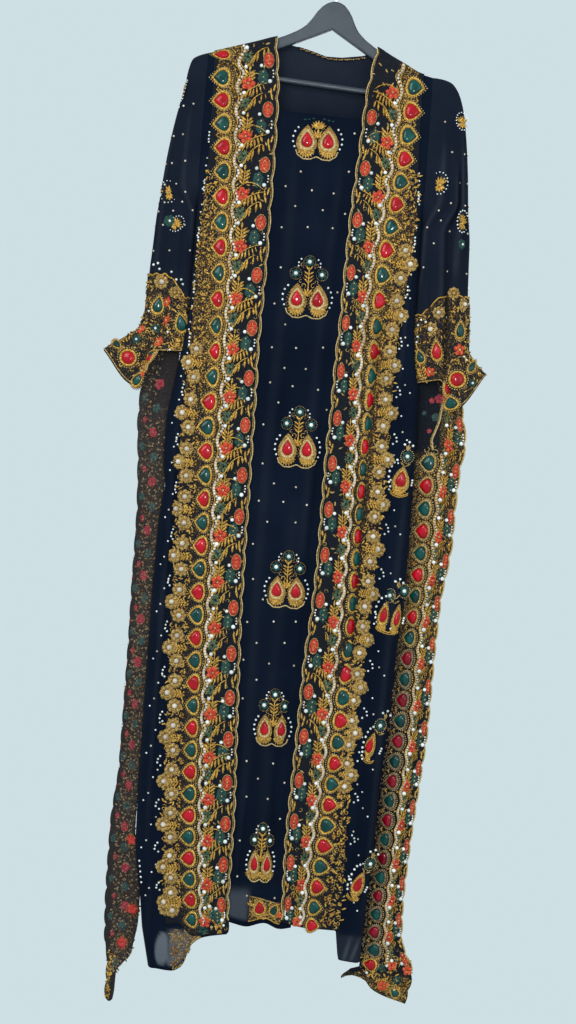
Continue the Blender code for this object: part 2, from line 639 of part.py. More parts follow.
def back_side(side):
    """The back's columns on its turn to one side seam, from the seam inwards."""
    columns = []
    for share in reversed(TURN):
        top_x = np.array((0.211, 0.172)[side == "left"] * SIGN[side]) - SIGN[side] * TURN_RADIUS * (1 - share)
        top = float(SHOULDER.read("z", top_x))
        z = panel_rows(top, BACK_HEM_Z)
        depth = panel_depth(top, z)
        flat_x = seam_line(side, z) - SIGN[side] * TURN_RADIUS
        depth = depth + back_folds(flat_x, z)
        x, y = side_turn(side, share, z, depth, TURN_RADIUS)
        columns.append(np.stack([x, y, z], axis=-1))
    return columns


def back_points():
    columns = back_side("right")
    tops = list(zip(*back_tops()))
    for place_in_row, (top_x, shoulder, top) in enumerate(tops, 1):
        z = panel_rows(top, BACK_HEM_Z)
        start = seam_line("right", z) + TURN_RADIUS
        end = seam_line("left", z) - TURN_RADIUS
        even_x = start + (end - start) * place_in_row / (len(tops) + 1)
        x = top_x + (even_x - top_x) * ease((shoulder - z) / 0.25)
        y = panel_depth(shoulder, z) + back_folds(x, z)
        columns.append(np.stack([x, y, z], axis=-1))
    columns += reversed(back_side("left"))
    return np.stack(columns, axis=1)


def back_panel(collection):
    points = back_points()[:, ::-1]
    return sheet("back_panel", points, CLOTH, "cloth", collection)


def neck_binding(collection):
    """A narrow strip inside the back neckline."""
    x = np.linspace(-0.060, 0.056, 13)
    top = BACK_NECK.read("z", x) - 0.0004
    z = np.stack([top, top - 0.0055])
    y = OVER_ARM.read("depth", 1.0) + HANG.read("depth", z) - CLOTH / 2 - GAP - 0.0005
    points = np.stack([np.broadcast_to(x, z.shape), y, z], axis=-1)
    return sheet("back_neck_binding", points, 0.0010, "binding", collection)


def sleeve_points(side, rows):
    """A sleeve's grid, from its seam with the front, out round the fold and back to the back seam."""
    table = SLEEVE[side]
    rows = np.asarray(rows, float)[:, None]
    inner_x, inner_z, fold_x, fold_z, dip = (
        table.read(name, rows) for name in ("inner_x", "inner_z", "fold_x", "fold_z", "dip")
    )
    u = np.linspace(0, 1, SLEEVE_COLUMNS + 1)[None, :]
    closed = side_closed(inner_z)
    seam_depth = OVER_ARM.read("depth", SHOULDER.read("z", inner_x) - inner_z) + HANG.read("depth", inner_z)
    depth = seam_depth + (SLEEVE_HALF_DEPTH - seam_depth) * closed
    flat = 1 / SLEEVE_COLUMNS
    round_share = np.clip((u - flat) / (1 - 2 * flat), 0, 1)
    half_across, full_across = np.sin(np.pi * u), 0.5 - 0.5 * np.cos(2 * np.pi * round_share)
    across = half_across + (full_across - half_across) * closed
    open_y = -depth * np.cos(np.pi * u)
    seam_side = np.where(u < 0.5, -1.0, 1.0)
    closed_y = -depth * np.sin(2 * np.pi * u) + seam_side * GAP / 2 * bell(np.minimum(u, 1 - u), 0.05)
    y = open_y + (closed_y - open_y) * closed
    x = inner_x + (fold_x - inner_x) * across
    z = inner_z + (fold_z - inner_z) * across - dip * MOUTH_DIP.read("amount", across)
    grow = np.clip((GROOVES_START - z) / (GROOVES_START - GROOVES_FULL), 0, 1)
    for at, width, groove in SLEEVE_GROOVES[side]:
        y = y - np.sign(y) * groove * bell(u - at, width) * grow
    grid = np.stack([x, y, z], axis=-1)
    return grid if side == "left" else grid[:, ::-1]


def sleeve(side, collection):
    points = sleeve_points(side, SLEEVE[side].rows[:, 0])
    return sheet(f"sleeve_{side}", points, CLOTH, "cloth", collection)


def cuff(side, collection):
    """The embroidered band round the sleeve's lower end, with two rows of jewels."""
    fine = np.linspace(CUFF_ROWS[0], CUFF_ROWS[-1], 9)
    inside = moved(sleeve_points(side, CUFF_ROWS), CLOTH / 2 + CUFF_GAP)
    outside = sleeve_points(side, fine)
    around = np.linspace(0, 1, outside.shape[1])[None, :]
    off_body = np.clip(np.minimum(around, 1 - around) * 12 - 1, 0, 1)
    jewels = bell(fine[:, None] - CUFF_JEWEL_ROW, 0.5) * np.cos(np.pi * CUFF_JEWELS_ROUND * around) ** 2
    outside = moved(outside, CLOTH / 2 + CUFF_GAP + CUFF + JEWEL_HEIGHT * jewels * off_body)
    return raised_wall(f"cuff_{side}", inside, outside, "embroidery", collection)


def border_grid(side, rows_of, clearance):
    """A side border's grid, from its seam out to its free edge."""
    table = BORDER[side]
    clear = SIGN[side] * (CLOTH / 2 + clearance)
    panel_hem = front_hem(side, 5.0, FRONT_HEM[side])
    columns = []
    for across in BORDER_STATIONS:
        z = rows_of(table.rows[-1, 0], float(BORDER_HEM[side].read("z", across)))
        beside = SIGN[side] * (seam_line(side, z) + clear)
        inner = SIGN[side] * table.read("inner", z)
        inner = SIGN[side] * np.where(z > panel_hem - 0.013, np.maximum(inner, beside), inner)
        outer = table.read("outer", z)
        middle_y, outer_y = table.read("middle_y", z), table.read("outer_y", z)
        y = np.sin(np.pi * across) ** 2 * middle_y + across * across * outer_y
        columns.append(np.stack([inner + (outer - inner) * across, y, z], axis=-1))
    return np.stack(columns, axis=1)


def side_border(side, collection):
    """The strip that hangs from the side seam, with jewels raised on its right side."""
    first, last = BORDER_ROWS[side]
    count = np.arange(first, last + 0.01, 1 / ROWS_PER_JEWEL)
    level = BORDER_JEWELS[side].read("z", count)
    low = np.concatenate([LEVELS, BORDER_LOW_LEVELS[side]])
    top = BORDER[side].rows[-1, 0]
    hem_ref = float(BORDER_HEM[side].read("z", 0.0))

    def coarse_rows(top, hem):
        return np.concatenate([[top], low[low < top - 0.004], [hem]])

    def fine_rows(top, hem):
        z = level + (hem - hem_ref) * ease(1 - (level - hem_ref) / 0.06)
        return np.concatenate([[top], z, [hem]])
    inside = border_grid(side, coarse_rows, 2 * GAP)
    outside = border_grid(side, fine_rows, 5 * GAP)
    jewel = np.concatenate([[0.0], np.cos(np.pi * count) ** 2, [0.0]])
    flower = np.concatenate([[0.0], np.sin(np.pi * count / 2) ** 2, [0.0]])
    flat = 0 * jewel
    relief = np.stack([
        flat, RING_HEIGHT * 0.5 * jewel, JEWEL_HEIGHT * jewel, FLOWER_HEIGHT * flower, flat,
    ], axis=1)
    inside = moved(inside, -BAND / 2)
    outside = moved(outside, BAND / 2 + relief)
    return raised_wall(f"side_border_{side}", inside, outside, "embroidery", collection)


def motif_skin(middle_x, middle_z, half_width, half_height, columns):
    """A motif's grid: x, z and the height of its raised drops."""
    across, up = np.meshgrid(np.linspace(-1, 1, columns), np.linspace(1, -1, 7))
    notch = 0.10 * (1 - np.abs(across)) * bell(up + 1, 0.2)
    x = middle_x + across * half_width * MOTIF_HALF_WIDTH.read("width", up)
    z = middle_z + (up + notch) * half_height
    drop_x, drop_up = DROP_AT
    far = np.hypot((np.abs(across) - drop_x), (up - drop_up) * half_height / half_width) / DROP_RADIUS
    return x, z, DROP_HEIGHT * np.clip(1 - far ** 2, 0, 1)


def motif(name, row, surface_y, columns, collection):
    """A flat applique with a crowned outline and its raised drops, lying on a panel."""
    x, z, relief = motif_skin(*row, columns)
    outside = np.stack([x, surface_y(x, z) - CLOTH / 2 - GAP - MOTIF - relief, z], axis=-1)
    x, z, relief = motif_skin(*row, (columns + 1) // 2)
    inside = np.stack([x, surface_y(x, z) - CLOTH / 2 - GAP, z], axis=-1)
    return raised_wall(name, inside, outside, "embroidery", collection)


def front_y(x, z):
    return -(OVER_ARM.read("depth", 1.0) + HANG.read("depth", z)) + 0.0 * x


def motifs(collection):
    for count, row in enumerate(CENTRE_MOTIFS, 1):
        motif(f"centre_motif_{count}", row, centre_y, 7, collection)
    for count, row in enumerate(FRONT_MOTIFS, 1):
        motif(f"front_motif_{count}", row, front_y, 5, collection)


def hem_border(collection):
    """The piece of embroidered border at the inset's hem."""
    x = np.linspace(-0.036, 0.0185, 7)
    down = np.linspace(0, 1, 5)[:, None]
    top = -1.606 + 0.004 * np.cos(np.pi * (x + 0.036) / 0.05)
    z = top + (CENTRE_HEM.read("z", x) + 0.002 - top) * down
    x = np.broadcast_to(x, z.shape)
    panel_front = centre_y(x, z) - CLOTH / 2 - GAP
    jewel = 0.0022 * np.cos(np.pi * (x + 0.018) / 0.034) ** 2 * np.sin(np.pi * down)
    inside = np.stack([x, panel_front, z], axis=-1)
    outside = np.stack([x, panel_front - MOTIF - jewel, z], axis=-1)
    return raised_wall("hem_border", inside, outside, "embroidery", collection)


def arm_outline():
    """The hanger's outline in its own frame, one half and then its mirror."""
    out = np.concatenate([np.linspace(0, 0.06, 9), [0.0775, 0.095, 0.150, ARM_END_X]])
    half = [(x, float(ARM.read("top", x))) for x in out]
    half += [(ARM_END_X + 0.0035, -0.1255), (ARM_END_X + 0.0045, -0.131), (ARM_END_X + 0.0045, -0.147)]
    half += [(ARM_END_X + 0.0025, ARM_TIP_BOTTOM), (TIP_INNER_X + 0.0020, ARM_TIP_BOTTOM)]
    half += [(TIP_INNER_X, -0.1500), (TIP_INNER_X, -0.1385)]
    half += list(reversed(ARM_LOWER_EDGE))
    mirrored = [(-x, z) for x, z in reversed(half) if x > 0]
    return half + mirrored


def hanger_arms(collection):
    """The moulded arms: a flat outline of even depth with rounded edges, tilted on the hook."""
    outline = arm_outline()
    curve = bpy.data.curves.new("hanger_arms", "CURVE")
    curve.dimensions = "2D"
    curve.fill_mode = "BOTH"
    curve.extrude = ARM_HALF_DEPTH - ARM_ROUNDING
    curve.bevel_depth = ARM_ROUNDING
    curve.bevel_resolution = 1
    curve.offset = -ARM_ROUNDING
    spline = curve.splines.new("POLY")
    spline.points.add(len(outline) - 1)
    for point, (x, z) in zip(spline.points, outline):
        point.co = (x, z, 0.0, 1.0)
    spline.use_cyclic_u = True
    arms = place("hanger_arms", curve, "moulding", collection)
    arms.location = (0.0, 0.0, HUMP_TOP_Z)
    arms.rotation_euler = (math.pi / 2, HANGER_TILT, 0.0)
    weld = arms.modifiers.new("weld", "WELD")
    weld.merge_threshold = 0.00001
    return arms


def hanger_bar(collection):
    bpy.ops.mesh.primitive_cylinder_add(vertices=16, radius=BAR_RADIUS, depth=2 * (TIP_INNER_X - GAP))
    bar = bpy.context.object
    bar.name = "hanger_bar"
    bar.rotation_euler = (0.0, math.pi / 2 + HANGER_TILT, 0.0)
    bar.location = (-BAR_DROP * math.sin(HANGER_TILT), 0.0, HUMP_TOP_Z - BAR_DROP * math.cos(HANGER_TILT))
    for owner in list(bar.users_collection):
        owner.objects.unlink(bar)
    collection.objects.link(bar)
    bar.data.materials.append(material("hanger_bar", "moulding"))
    bar.data.shade_smooth()
    bar.data.set_sharp_from_angle(angle=math.radians(40))
    return bar


def hook_path():
    """The wire's middle line: up the stem, round to the side, over the top and down to the tip."""
    radius = HOOK_INNER_RADIUS + WIRE_RADIUS
    join = math.radians(-50)
    start = np.array([0.0, STEM_BEND_Z])
    end = np.array([radius * math.cos(join), radius * math.sin(join) - HOOK_INNER_RADIUS])
    pull = 0.020
    leave = start + (0.0, pull * 0.6)
    arrive = end - pull * 0.5 * np.array([-math.sin(join), math.cos(join)])
    t = np.linspace(0, 1, 8)[:, None]
    bend = (1 - t) ** 3 * start + 3 * (1 - t) ** 2 * t * leave + 3 * (1 - t) * t * t * arrive + t ** 3 * end
    angle = np.linspace(join, math.radians(205), 22)[1:]
    loop = np.stack([radius * np.cos(angle), radius * np.sin(angle) - HOOK_INNER_RADIUS], axis=1)
    foot = np.array([[0.0, HUMP_TOP_Z + GAP]])
    return np.concatenate([foot, bend, loop])


def hanger_hook(collection):
    path = hook_path()
    curve = bpy.data.curves.new("hanger_hook", "CURVE")
    curve.dimensions = "3D"
    curve.bevel_depth = WIRE_RADIUS
    curve.bevel_resolution = 2
    curve.use_fill_caps = True
    spline = curve.splines.new("POLY")
    spline.points.add(len(path) - 1)
    for point, (x, z) in zip(spline.points, path.tolist()):
        point.co = (x, 0.0, z, 1.0)
    return place("hanger_hook", curve, "wire", collection)


def build():
    clear_scene()
    collection = bpy.data.collections.new("kaftan_on_hanger")
    bpy.context.scene.collection.children.link(collection)
    hanger_hook(collection)
    hanger_arms(collection)
    hanger_bar(collection)
    back_panel(collection)
    neck_binding(collection)
    centre_panel(collection)
    hem_border(collection)
    for side in SIGN:
        front_panel(side, collection)
        front_band(side, collection)
        sleeve(side, collection)
        cuff(side, collection)
        side_border(side, collection)
    motifs(collection)


build()
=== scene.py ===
"""Looks of an open-fronted kaftan with embroidered borders, on its clothes hanger.

The cloths are thin shells on the solids' own forms, with creases laid on them one by one. The
embroidery lies on those shells: each strip is a skin of stations across it and jewels counted
along it, and every stone, bead, leaf and flower is placed on its skin as one of a few small shapes.
"""
import math

import bpy
import numpy as np
from mathutils import Matrix


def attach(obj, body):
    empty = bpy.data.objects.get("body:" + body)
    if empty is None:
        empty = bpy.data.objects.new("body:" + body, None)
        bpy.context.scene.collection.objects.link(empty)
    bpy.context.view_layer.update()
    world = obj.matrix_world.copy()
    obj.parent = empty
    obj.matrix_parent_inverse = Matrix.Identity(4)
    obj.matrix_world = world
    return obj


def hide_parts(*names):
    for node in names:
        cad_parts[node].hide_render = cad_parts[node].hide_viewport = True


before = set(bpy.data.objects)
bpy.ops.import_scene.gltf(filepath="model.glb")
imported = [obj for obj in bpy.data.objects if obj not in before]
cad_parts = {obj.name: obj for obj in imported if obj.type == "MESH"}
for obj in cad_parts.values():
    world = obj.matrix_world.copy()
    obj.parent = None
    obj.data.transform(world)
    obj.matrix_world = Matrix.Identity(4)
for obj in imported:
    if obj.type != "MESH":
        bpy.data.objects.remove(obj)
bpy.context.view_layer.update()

rng = np.random.default_rng(21)

MM = 1000.0
GAP = 0.0003
CLOTH = 0.0012
SIGN = {"right": -1.0, "left": 1.0}


def millimetres(*rows):
    """Numbers given in millimetres, or rows of them, as metres."""
    return np.array(rows, float) / MM


class Table:
    """Rows of named columns, read along the first one by a smooth curve that never overshoots.

    Columns are given in millimetres, apart from counts, row numbers and shares.
    """

    def __init__(self, columns, *rows):
        self.names = columns.split()
        units = [1.0 if name in ("row", "count", "across", "amount") else MM for name in self.names]
        self.rows = np.array(sorted(rows), float) / units

    def read(self, name, at):
        key = self.rows[:, 0]
        value = self.rows[:, self.names.index(name)]
        step = np.diff(key)
        slope = np.diff(value) / step
        both = slope[1:] * slope[:-1]
        turning = both <= 0
        total = np.where(turning, 1.0, slope[1:] + slope[:-1])
        tangent = np.concatenate([slope[:1], np.where(turning, 0.0, 2 * both / total), slope[-1:]])
        at = np.clip(at, key[0], key[-1])
        i = np.clip(np.searchsorted(key, at, side="right") - 1, 0, len(step) - 1)
        t = (at - key[i]) / step[i]
        ends = value[i] * (1 + 2 * t) * (1 - t) ** 2 + value[i + 1] * t * t * (3 - 2 * t)
        return ends + step[i] * t * (1 - t) * (tangent[i] * (1 - t) - tangent[i + 1] * t)


# The cloth's top line over the arms, how far a panel stands from the middle, and its shared heights
SHOULDER = Table(
    "x z",
    (-211, -178.5), (-160, -162.8), (-98, -143), (-60, -126.2), (-40, -111.2), (0, -73), (40, -117.2),
    (60, -138), (78, -150.3), (125, -174.3), (150, -187), (172, -193),
)
OVER_ARM = Table("drop depth", (0, 0.15), (0.8, 4), (3, 7.4), (8, 9.2), (2000, 9.2))
HANG = Table(
    "z depth",
    (-1800, 21), (-1200, 18), (-800, 15), (-450, 11), (-300, 6), (-200, 1.5), (-150, 0),
)
SIDE_SEAM_STARTS = (-0.4, -0.46)
LEVELS = millimetres(
    -245, -320, -400, -420, -440, -460, -540, -620, -690, -730, -765, -800, -860, -920, -980, -1080,
    -1180, -1300, -1420, -1530, -1610,
)
FRONT = {
    "right": Table(
        "z inner pearl jewel outer seam",
        (-150, -99, -155, -190, -202, -211), (-240, -90, -155, -185, -199, -211),
        (-340, -88, -152, -175, -198, -211), (-500, -88, -148, -168, -204, -211),
        (-640, -90.8, -146.5, -164.3, -205.5, -213), (-690, -91.5, -146, -163, -206, -220.5),
        (-730, -90, -145, -164, -208, -226), (-765, -90, -145, -166, -209, -231),
        (-800, -90, -145, -168, -211, -236), (-860, -89.5, -145, -166, -210, -237),
        (-920, -89, -145, -164, -208, -231), (-980, -89, -144, -163, -206, -237),
        (-1100, -88, -142, -162, -204, -239), (-1300, -81, -138, -156, -199, -239),
        (-1500, -74, -128, -149, -190, -239), (-1600, -74, -120, -139, -182, -224.5),
        (-1660, -70, -114, -131, -175, -217), (-1735, -66, -110, -128, -168, -199),
    ),
    "left": Table(
        "z inner pearl jewel outer seam",
        (-150, 77.5, 118, 146, 158, 172), (-240, 64, 119, 143, 157, 172),
        (-340, 58.5, 114, 136, 159, 172), (-420, 53, 106, 127, 162, 172),
        (-500, 50, 94.5, 116, 159, 172), (-600, 48, 88, 109, 148, 172),
        (-640, 46.5, 86.4, 107.2, 145.3, 174), (-690, 44.5, 85.5, 105, 142, 180),
        (-730, 44, 86.5, 104, 142, 188), (-770, 43.5, 88, 104, 142, 188), (-850, 40, 88, 103, 141, 190),
        (-1000, 39, 86, 102, 136, 190), (-1100, 36, 84, 102, 131, 188), (-1200, 29, 80, 101, 126, 181),
        (-1300, 26, 75, 97, 121, 177), (-1400, 23, 70, 90, 119, 171), (-1500, 20, 62, 85, 119, 169),
        (-1600, 22, 57, 76, 120, 163), (-1700, 25, 54, 70, 118, 158),
    ),
}
FRONT_HEM = {
    "right": Table(
        "x z",
        (-199, -1735), (-165, -1737), (-145, -1728), (-128, -1690), (-110, -1677), (-66, -1668),
    ),
    "left": Table("x z", (25, -1645), (110, -1645), (122, -1698), (160, -1702)),
}
BAND_HEM = {
    "right": Table("x z", (-176, -1662), (-152, -1656), (-128, -1675), (-110, -1674), (-66, -1665)),
    "left": Table("x z", (20, -1641), (60, -1648), (118, -1649)),
}
JEWELS = {
    "right": Table(
        "count z",
        (0, -182), (4, -340), (8, -510), (12, -687), (16, -857), (20, -1017), (24, -1173), (28, -1325),
        (32, -1473), (36, -1615), (37, -1648), (38, -1681),
    ),
    "left": Table(
        "count z",
        (0, -172), (4, -338), (8, -495), (12, -668), (16, -829), (20, -982), (24, -1135), (28, -1295),
        (32, -1438), (36, -1578), (37, -1613), (38, -1643), (39, -1673),
    ),
}
TURN_RADIUS = 0.01
CENTRE_TOP = Table("x z", (-113, -268), (75, -275))
CENTRE_HEM = Table(
    "x z",
    (-100, -1642), (-70, -1648), (-40, -1655), (-8, -1647), (15, -1654), (45, -1648),
)
TUCK = 0.014
CENTRE_SAG = Table("z depth", (-1660, 6), (-1200, 4.5), (-600, 3), (-270, 0.8))
CENTRE_FLAT = Table("z start end", (-270, -58, 30), (-900, -50, 24), (-1300, -50, 13), (-1660, -46, 4))
BACK_NECK = Table(
    "x z",
    (-93, -150), (-60, -153.5), (-35, -159.5), (0, -168), (30, -166), (55, -161), (73, -157),
)
NECK_WRAP_DROPS = (0.0, 0.0008, 0.003, 0.008)
NECK_WRAP_STEP = 0.0018
BACK_HEM_Z = -1.64
BACK_RIDGES = Table(
    "x height width",
    (-185, 4.5, 16), (-128, 6.5, 19), (-78, 3, 15), (-22, 7, 21), (36, 4, 16), (92, 6.5, 19),
    (148, 4, 15),
)
SLEEVE = {
    "right": Table(
        "row inner_x inner_z fold_x fold_z dip",
        (0, -211.3, -178.5, -213, -179.5, 0), (1, -211.3, -179.5, -227, -184, 0),
        (2, -211.3, -182, -237, -190.5, 0), (3, -211.3, -190, -242.5, -206, 0),
        (4, -211.3, -230, -248, -240, 0), (5, -211.3, -290, -260, -300, 0),
        (6, -211.3, -350, -269, -360, 0), (7, -211.6, -400, -274, -408, 0),
        (8, -212.8, -420, -275.7, -427, 0), (9, -214.1, -440, -277.5, -446, 0),
        (10, -215, -460, -279.5, -465, 0), (11, -215.8, -510, -282, -515, 0),
        (12, -216, -555, -284.5, -560, 0), (13, -216, -600, -285, -615, 0),
        (14, -216.5, -635, -293, -652, 6), (15, -217.5, -665, -320, -675, 28),
        (16, -219, -690, -353, -697, 58),
    ),
    "left": Table(
        "row inner_x inner_z fold_x fold_z dip",
        (0, 172.3, -193, 174, -193.2, 0), (1, 172.3, -194, 190, -194.5, 0),
        (2, 172.3, -196.5, 205, -199, 0), (3, 172.3, -204.5, 217, -212, 0),
        (4, 172.3, -235, 228, -240, 0), (5, 172.3, -290, 238, -295, 0), (6, 172.3, -350, 245, -355, 0),
        (7, 172.6, -400, 249.2, -406, 0), (8, 173.8, -420, 251, -426, 0),
        (9, 175.1, -440, 253.5, -445, 0), (10, 176, -460, 256, -465, 0),
        (11, 176.5, -510, 258, -515, 0), (12, 176.8, -555, 260, -560, 0),
        (13, 177.2, -600, 264.5, -610, 0), (14, 178, -645, 266.5, -652, 4),
        (15, 181, -685, 279, -673, 24), (16, 186.5, -715, 300, -693, 52),
    ),
}
MOUTH_ROW = 16
SLEEVE_FLAT = 1 / 18
SLEEVE_HALF_DEPTH = 0.0165
SLEEVE_GROOVES = {
    "right": ((0.3, 0.045, 0.0045), (0.72, 0.05, 0.004)),
    "left": ((0.27, 0.045, 0.0065), (0.7, 0.05, 0.004)),
}
GROOVES_START, GROOVES_FULL = -0.26, -0.48
MOUTH_DIP = Table("across amount", (0, 0), (0.3, 0), (0.6, 1), (1, 0))
BORDER = {
    "right": Table(
        "z inner outer middle_y outer_y",
        (-662, -224, -274, 0, 1), (-690, -224, -278, 1, 2), (-730, -222.5, -282, 1, 3),
        (-765, -227.5, -285, 2, 5), (-810, -236.5, -286, 4, 8), (-860, -237, -282.5, 4.5, 10),
        (-920, -232.5, -278.5, 5, 9), (-980, -237, -276, 4, 8), (-1100, -239, -275.5, 2, 7),
        (-1200, -239, -274.5, 3, 10), (-1400, -239, -275, 6, 12), (-1500, -239.5, -282, 5, 6),
        (-1560, -232, -282, 3, 4), (-1620, -223, -281.5, 1, 4), (-1660, -222.8, -280, 0, 5),
        (-1700, -228, -277.5, 1, 6), (-1722, -232, -272.5, 2, 6), (-1738, -245, -271, 3, 6),
        (-1752, -254.5, -270.5, 4, 6), (-1785, -255.5, -270.5, 5, 6), (-1806, -258.5, -269, 6, 6),
    ),
    "left": Table(
        "z inner outer middle_y outer_y",
        (-695, 200, 254, 0, -1), (-712, 199.5, 256, 0, -1), (-732, 188, 260, -1, -2),
        (-770, 181, 268, -2, -3), (-815, 187, 274, -5, -6), (-860, 190, 268, -8, -6),
        (-920, 190, 265, -10, -6), (-980, 190, 264, -10, -6), (-1020, 190, 260, -10, -6),
        (-1080, 188.5, 252, -10, -3), (-1180, 182, 248, -9, -1), (-1300, 177, 245.5, -10, -2),
        (-1400, 171, 238, -11, -3), (-1500, 169, 230, -11, -3), (-1600, 163, 225.5, -10, -2),
        (-1660, 160, 227.5, -9, -2), (-1688, 158.8, 238, -8, -3), (-1704, 159, 247, -7, -4),
        (-1710, 153, 248, -7, -5), (-1720, 142, 248.5, -7, -5.5), (-1733, 129, 248, -7, -6),
        (-1770, 129, 240, -7, -6),
    ),
}
BORDER_HEM = {
    "right": Table("across z", (0, -1800), (0.5, -1806), (1, -1800)),
    "left": Table(
        "across z",
        (0, -1736), (0.12, -1729), (0.32, -1733), (0.45, -1748), (0.64, -1758), (1, -1770),
    ),
}
BORDER_JEWELS = {
    "right": Table(
        "count z",
        (0, -665), (4, -830), (8, -998), (12, -1150), (16, -1295), (20, -1435), (24, -1575),
        (28, -1705), (31, -1798),
    ),
    "left": Table(
        "count z",
        (-1, -690), (0, -728), (4, -888), (8, -1040), (12, -1183), (16, -1325), (20, -1460),
        (24, -1590), (28, -1713), (30, -1775),
    ),
}

# Creases laid on one by one: where each starts and ends, its half width and its height
FRONT_CREASES = {
    "right": millimetres(
        (-150, -460, -132, -1620, 12, 1.6), (-118, -620, -108, -1300, 9, -1.4),
        (-176, -300, -170, -920, 10, -1.6), (-206, -340, -221.5, -1300, 5.5, 2.6),
        (-213.5, -780, -211, -1700, 4.8, -3.4), (-224, -1020, -206, -1730, 6.2, 4.2),
        (-188, -1440, -172, -1730, 7.5, -3), (-152, -1600, -160, -1740, 7, 3.6),
    ),
    "left": millimetres(
        (115, -520, 98.5, -1270, 7, -8.5), (93, -600, 84, -1220, 6, 2.2), (133, -580, 117, -1320, 8, 2),
        (64, -400, 40, -1300, 11, 1.6), (70, -900, 50, -1620, 8, -1.5),
        (165, -300, 148, -980, 4.5, 3.2), (157, -660, 135, -1660, 5.5, -5.2),
        (176, -840, 156, -1690, 6, 4.6), (183, -1040, 168, -1460, 4, -3),
    ),
}
CENTRE_CREASES = millimetres(
    (-54, -300, -64, -1620, 11, 3.8), (26, -290, 3, -1100, 9, 3.2), (-80, -440, -76, -1640, 7, -4.6),
    (42, -340, 15, -1580, 6.5, -4.4), (-30, -620, -42, -980, 8, -2.8), (-12, -880, -30, -1640, 12, 3),
    (6, -1160, -6, -1640, 7, -4.2), (-47, -1360, -54, -1650, 6, -3.6), (-3, -270, -8, -560, 16, 2),
)
BACK_CREASES = millimetres(
    (-162, -300, -156, -1640, 8.5, -4.2), (-105, -380, -101, -1200, 8, 3),
    (-48, -260, -52, -1640, 10, -3.8), (-10, -190, 10, -950, 12, 3), (5, -800, 7, -1640, 8.5, -4.5),
    (65, -320, 62, -1640, 9, -3.4), (121, -420, 124, -1350, 7, -3.6), (-195, -620, -205, -1620, 6, -3),
    (152, -700, 162, -1640, 7, 3),
)
# Sleeve creases in its own terms: round from the front seam, and rows down
SLEEVE_CREASES = {
    "right": (
        (0.16, 4.2, 0.13, 11.6, 0.03, 0.0026), (0.21, 5.5, 0.2, 13.2, 0.022, -0.0032),
        (0.38, 4.8, 0.4, 12.6, 0.026, 0.0026), (0.45, 8.0, 0.44, 15.0, 0.02, -0.0026),
        (0.6, 4.5, 0.58, 14.0, 0.028, 0.0028), (0.84, 5.2, 0.83, 13.5, 0.03, -0.003),
        (0.66, 7.0, 0.67, 12.0, 0.018, -0.0022), (0.11, 12.2, 0.2, 15.6, 0.03, 0.003),
    ),
    "left": (
        (0.13, 4.6, 0.12, 12.4, 0.024, 0.0034), (0.19, 5.0, 0.21, 14.8, 0.02, -0.004),
        (0.35, 4.4, 0.35, 12.0, 0.026, 0.0034), (0.4, 6.5, 0.42, 15.2, 0.02, -0.0024),
        (0.297, 5.4, 0.297, 15.4, 0.014, -0.0085), (0.262, 5.4, 0.262, 15.0, 0.02, 0.003),
        (0.47, 5.0, 0.46, 11.4, 0.016, 0.0022), (0.6, 4.8, 0.62, 14.6, 0.028, -0.003),
        (0.8, 4.6, 0.78, 13.0, 0.03, 0.003), (0.88, 7.0, 0.86, 14.4, 0.018, -0.0026),
    ),
}

# Centre motifs: middle, half width and half height
CENTRE_MOTIFS = millimetres(
    (-15, -316, 40, 37), (-13, -560, 37, 55), (-11, -815, 34, 54), (-12, -1058, 33, 50),
    (-18, -1293, 28, 50), (-22, -1522, 21, 52),
)
# Middle of the drop, how far its top leans to the left, and each drop's shift and width
FRONT_MOTIFS = (
    (0.168, -0.88, 0.12, ((0.0, 1.0),)), (0.166, -1.112, 0.16, ((-0.0105, 0.66), (0.011, 0.6))),
    (0.153, -1.334, 0.3, ((-0.004, 0.7),)), (0.146, -1.568, 0.36, ((0.0, 0.74),)),
)

# Heights of the orange flowers at each band's scalloped edge
EDGE_FLOWERS = {
    "right": millimetres(
        -185, -270, -365, -463, -553, -643, -728, -808, -893, -963, -1040, -1118, -1195, -1270, -1340,
        -1413, -1483, -1552, -1620,
    ),
    "left": millimetres(
        -182, -270, -358.5, -447, -537, -623, -705, -785, -862, -940, -1017, -1094, -1172, -1250, -1326,
        -1400, -1470, -1540, -1610,
    ),
}
ROSETTES = {"right": (-0.66, -1.7), "left": (-0.49, -1.45)}
GOLD_STARTS = {"right": -0.385, "left": -0.36}


# Shapes of the cloths


def bell(distance, width):
    return np.exp(-((distance / width) ** 2))


def ease(share):
    share = np.clip(share, 0, 1)
    return share * share * (3 - 2 * share)


def together(a, b):
    """Both as arrays of numbers, of one shape."""
    return np.broadcast_arrays(np.asarray(a, float), np.asarray(b, float))


def blend(station, lines):
    """The lines' value at a station, straight from each line, at a whole number, to the next."""
    return sum(np.clip(1 - np.abs(station - k), 0, 1) * line for k, line in enumerate(lines))


def creases(rows, across, down, fade):
    """Sum of ridges: each is a bell across its own slanting line, eased in and out along it."""
    height = 0.0 * across
    for top_a, top_b, bottom_a, bottom_b, width, amount in rows:
        share = (down - top_b) / (bottom_b - top_b)
        wander = 0.35 * width * np.sin(9.0 * share + 40 * width + 3 * top_a)
        middle = top_a + (bottom_a - top_a) * share + wander
        length = abs(bottom_b - top_b)
        along = ease(share * length / fade) * ease((1 - share) * length / fade)
        height = height + amount * along * bell(across - middle, width)
    return height


def side_closed(z):
    """0 where the body is open to the sleeve, 1 where its side is closed by the seam."""
    return ease((SIDE_SEAM_STARTS[0] - z) / (SIDE_SEAM_STARTS[0] - SIDE_SEAM_STARTS[1]))


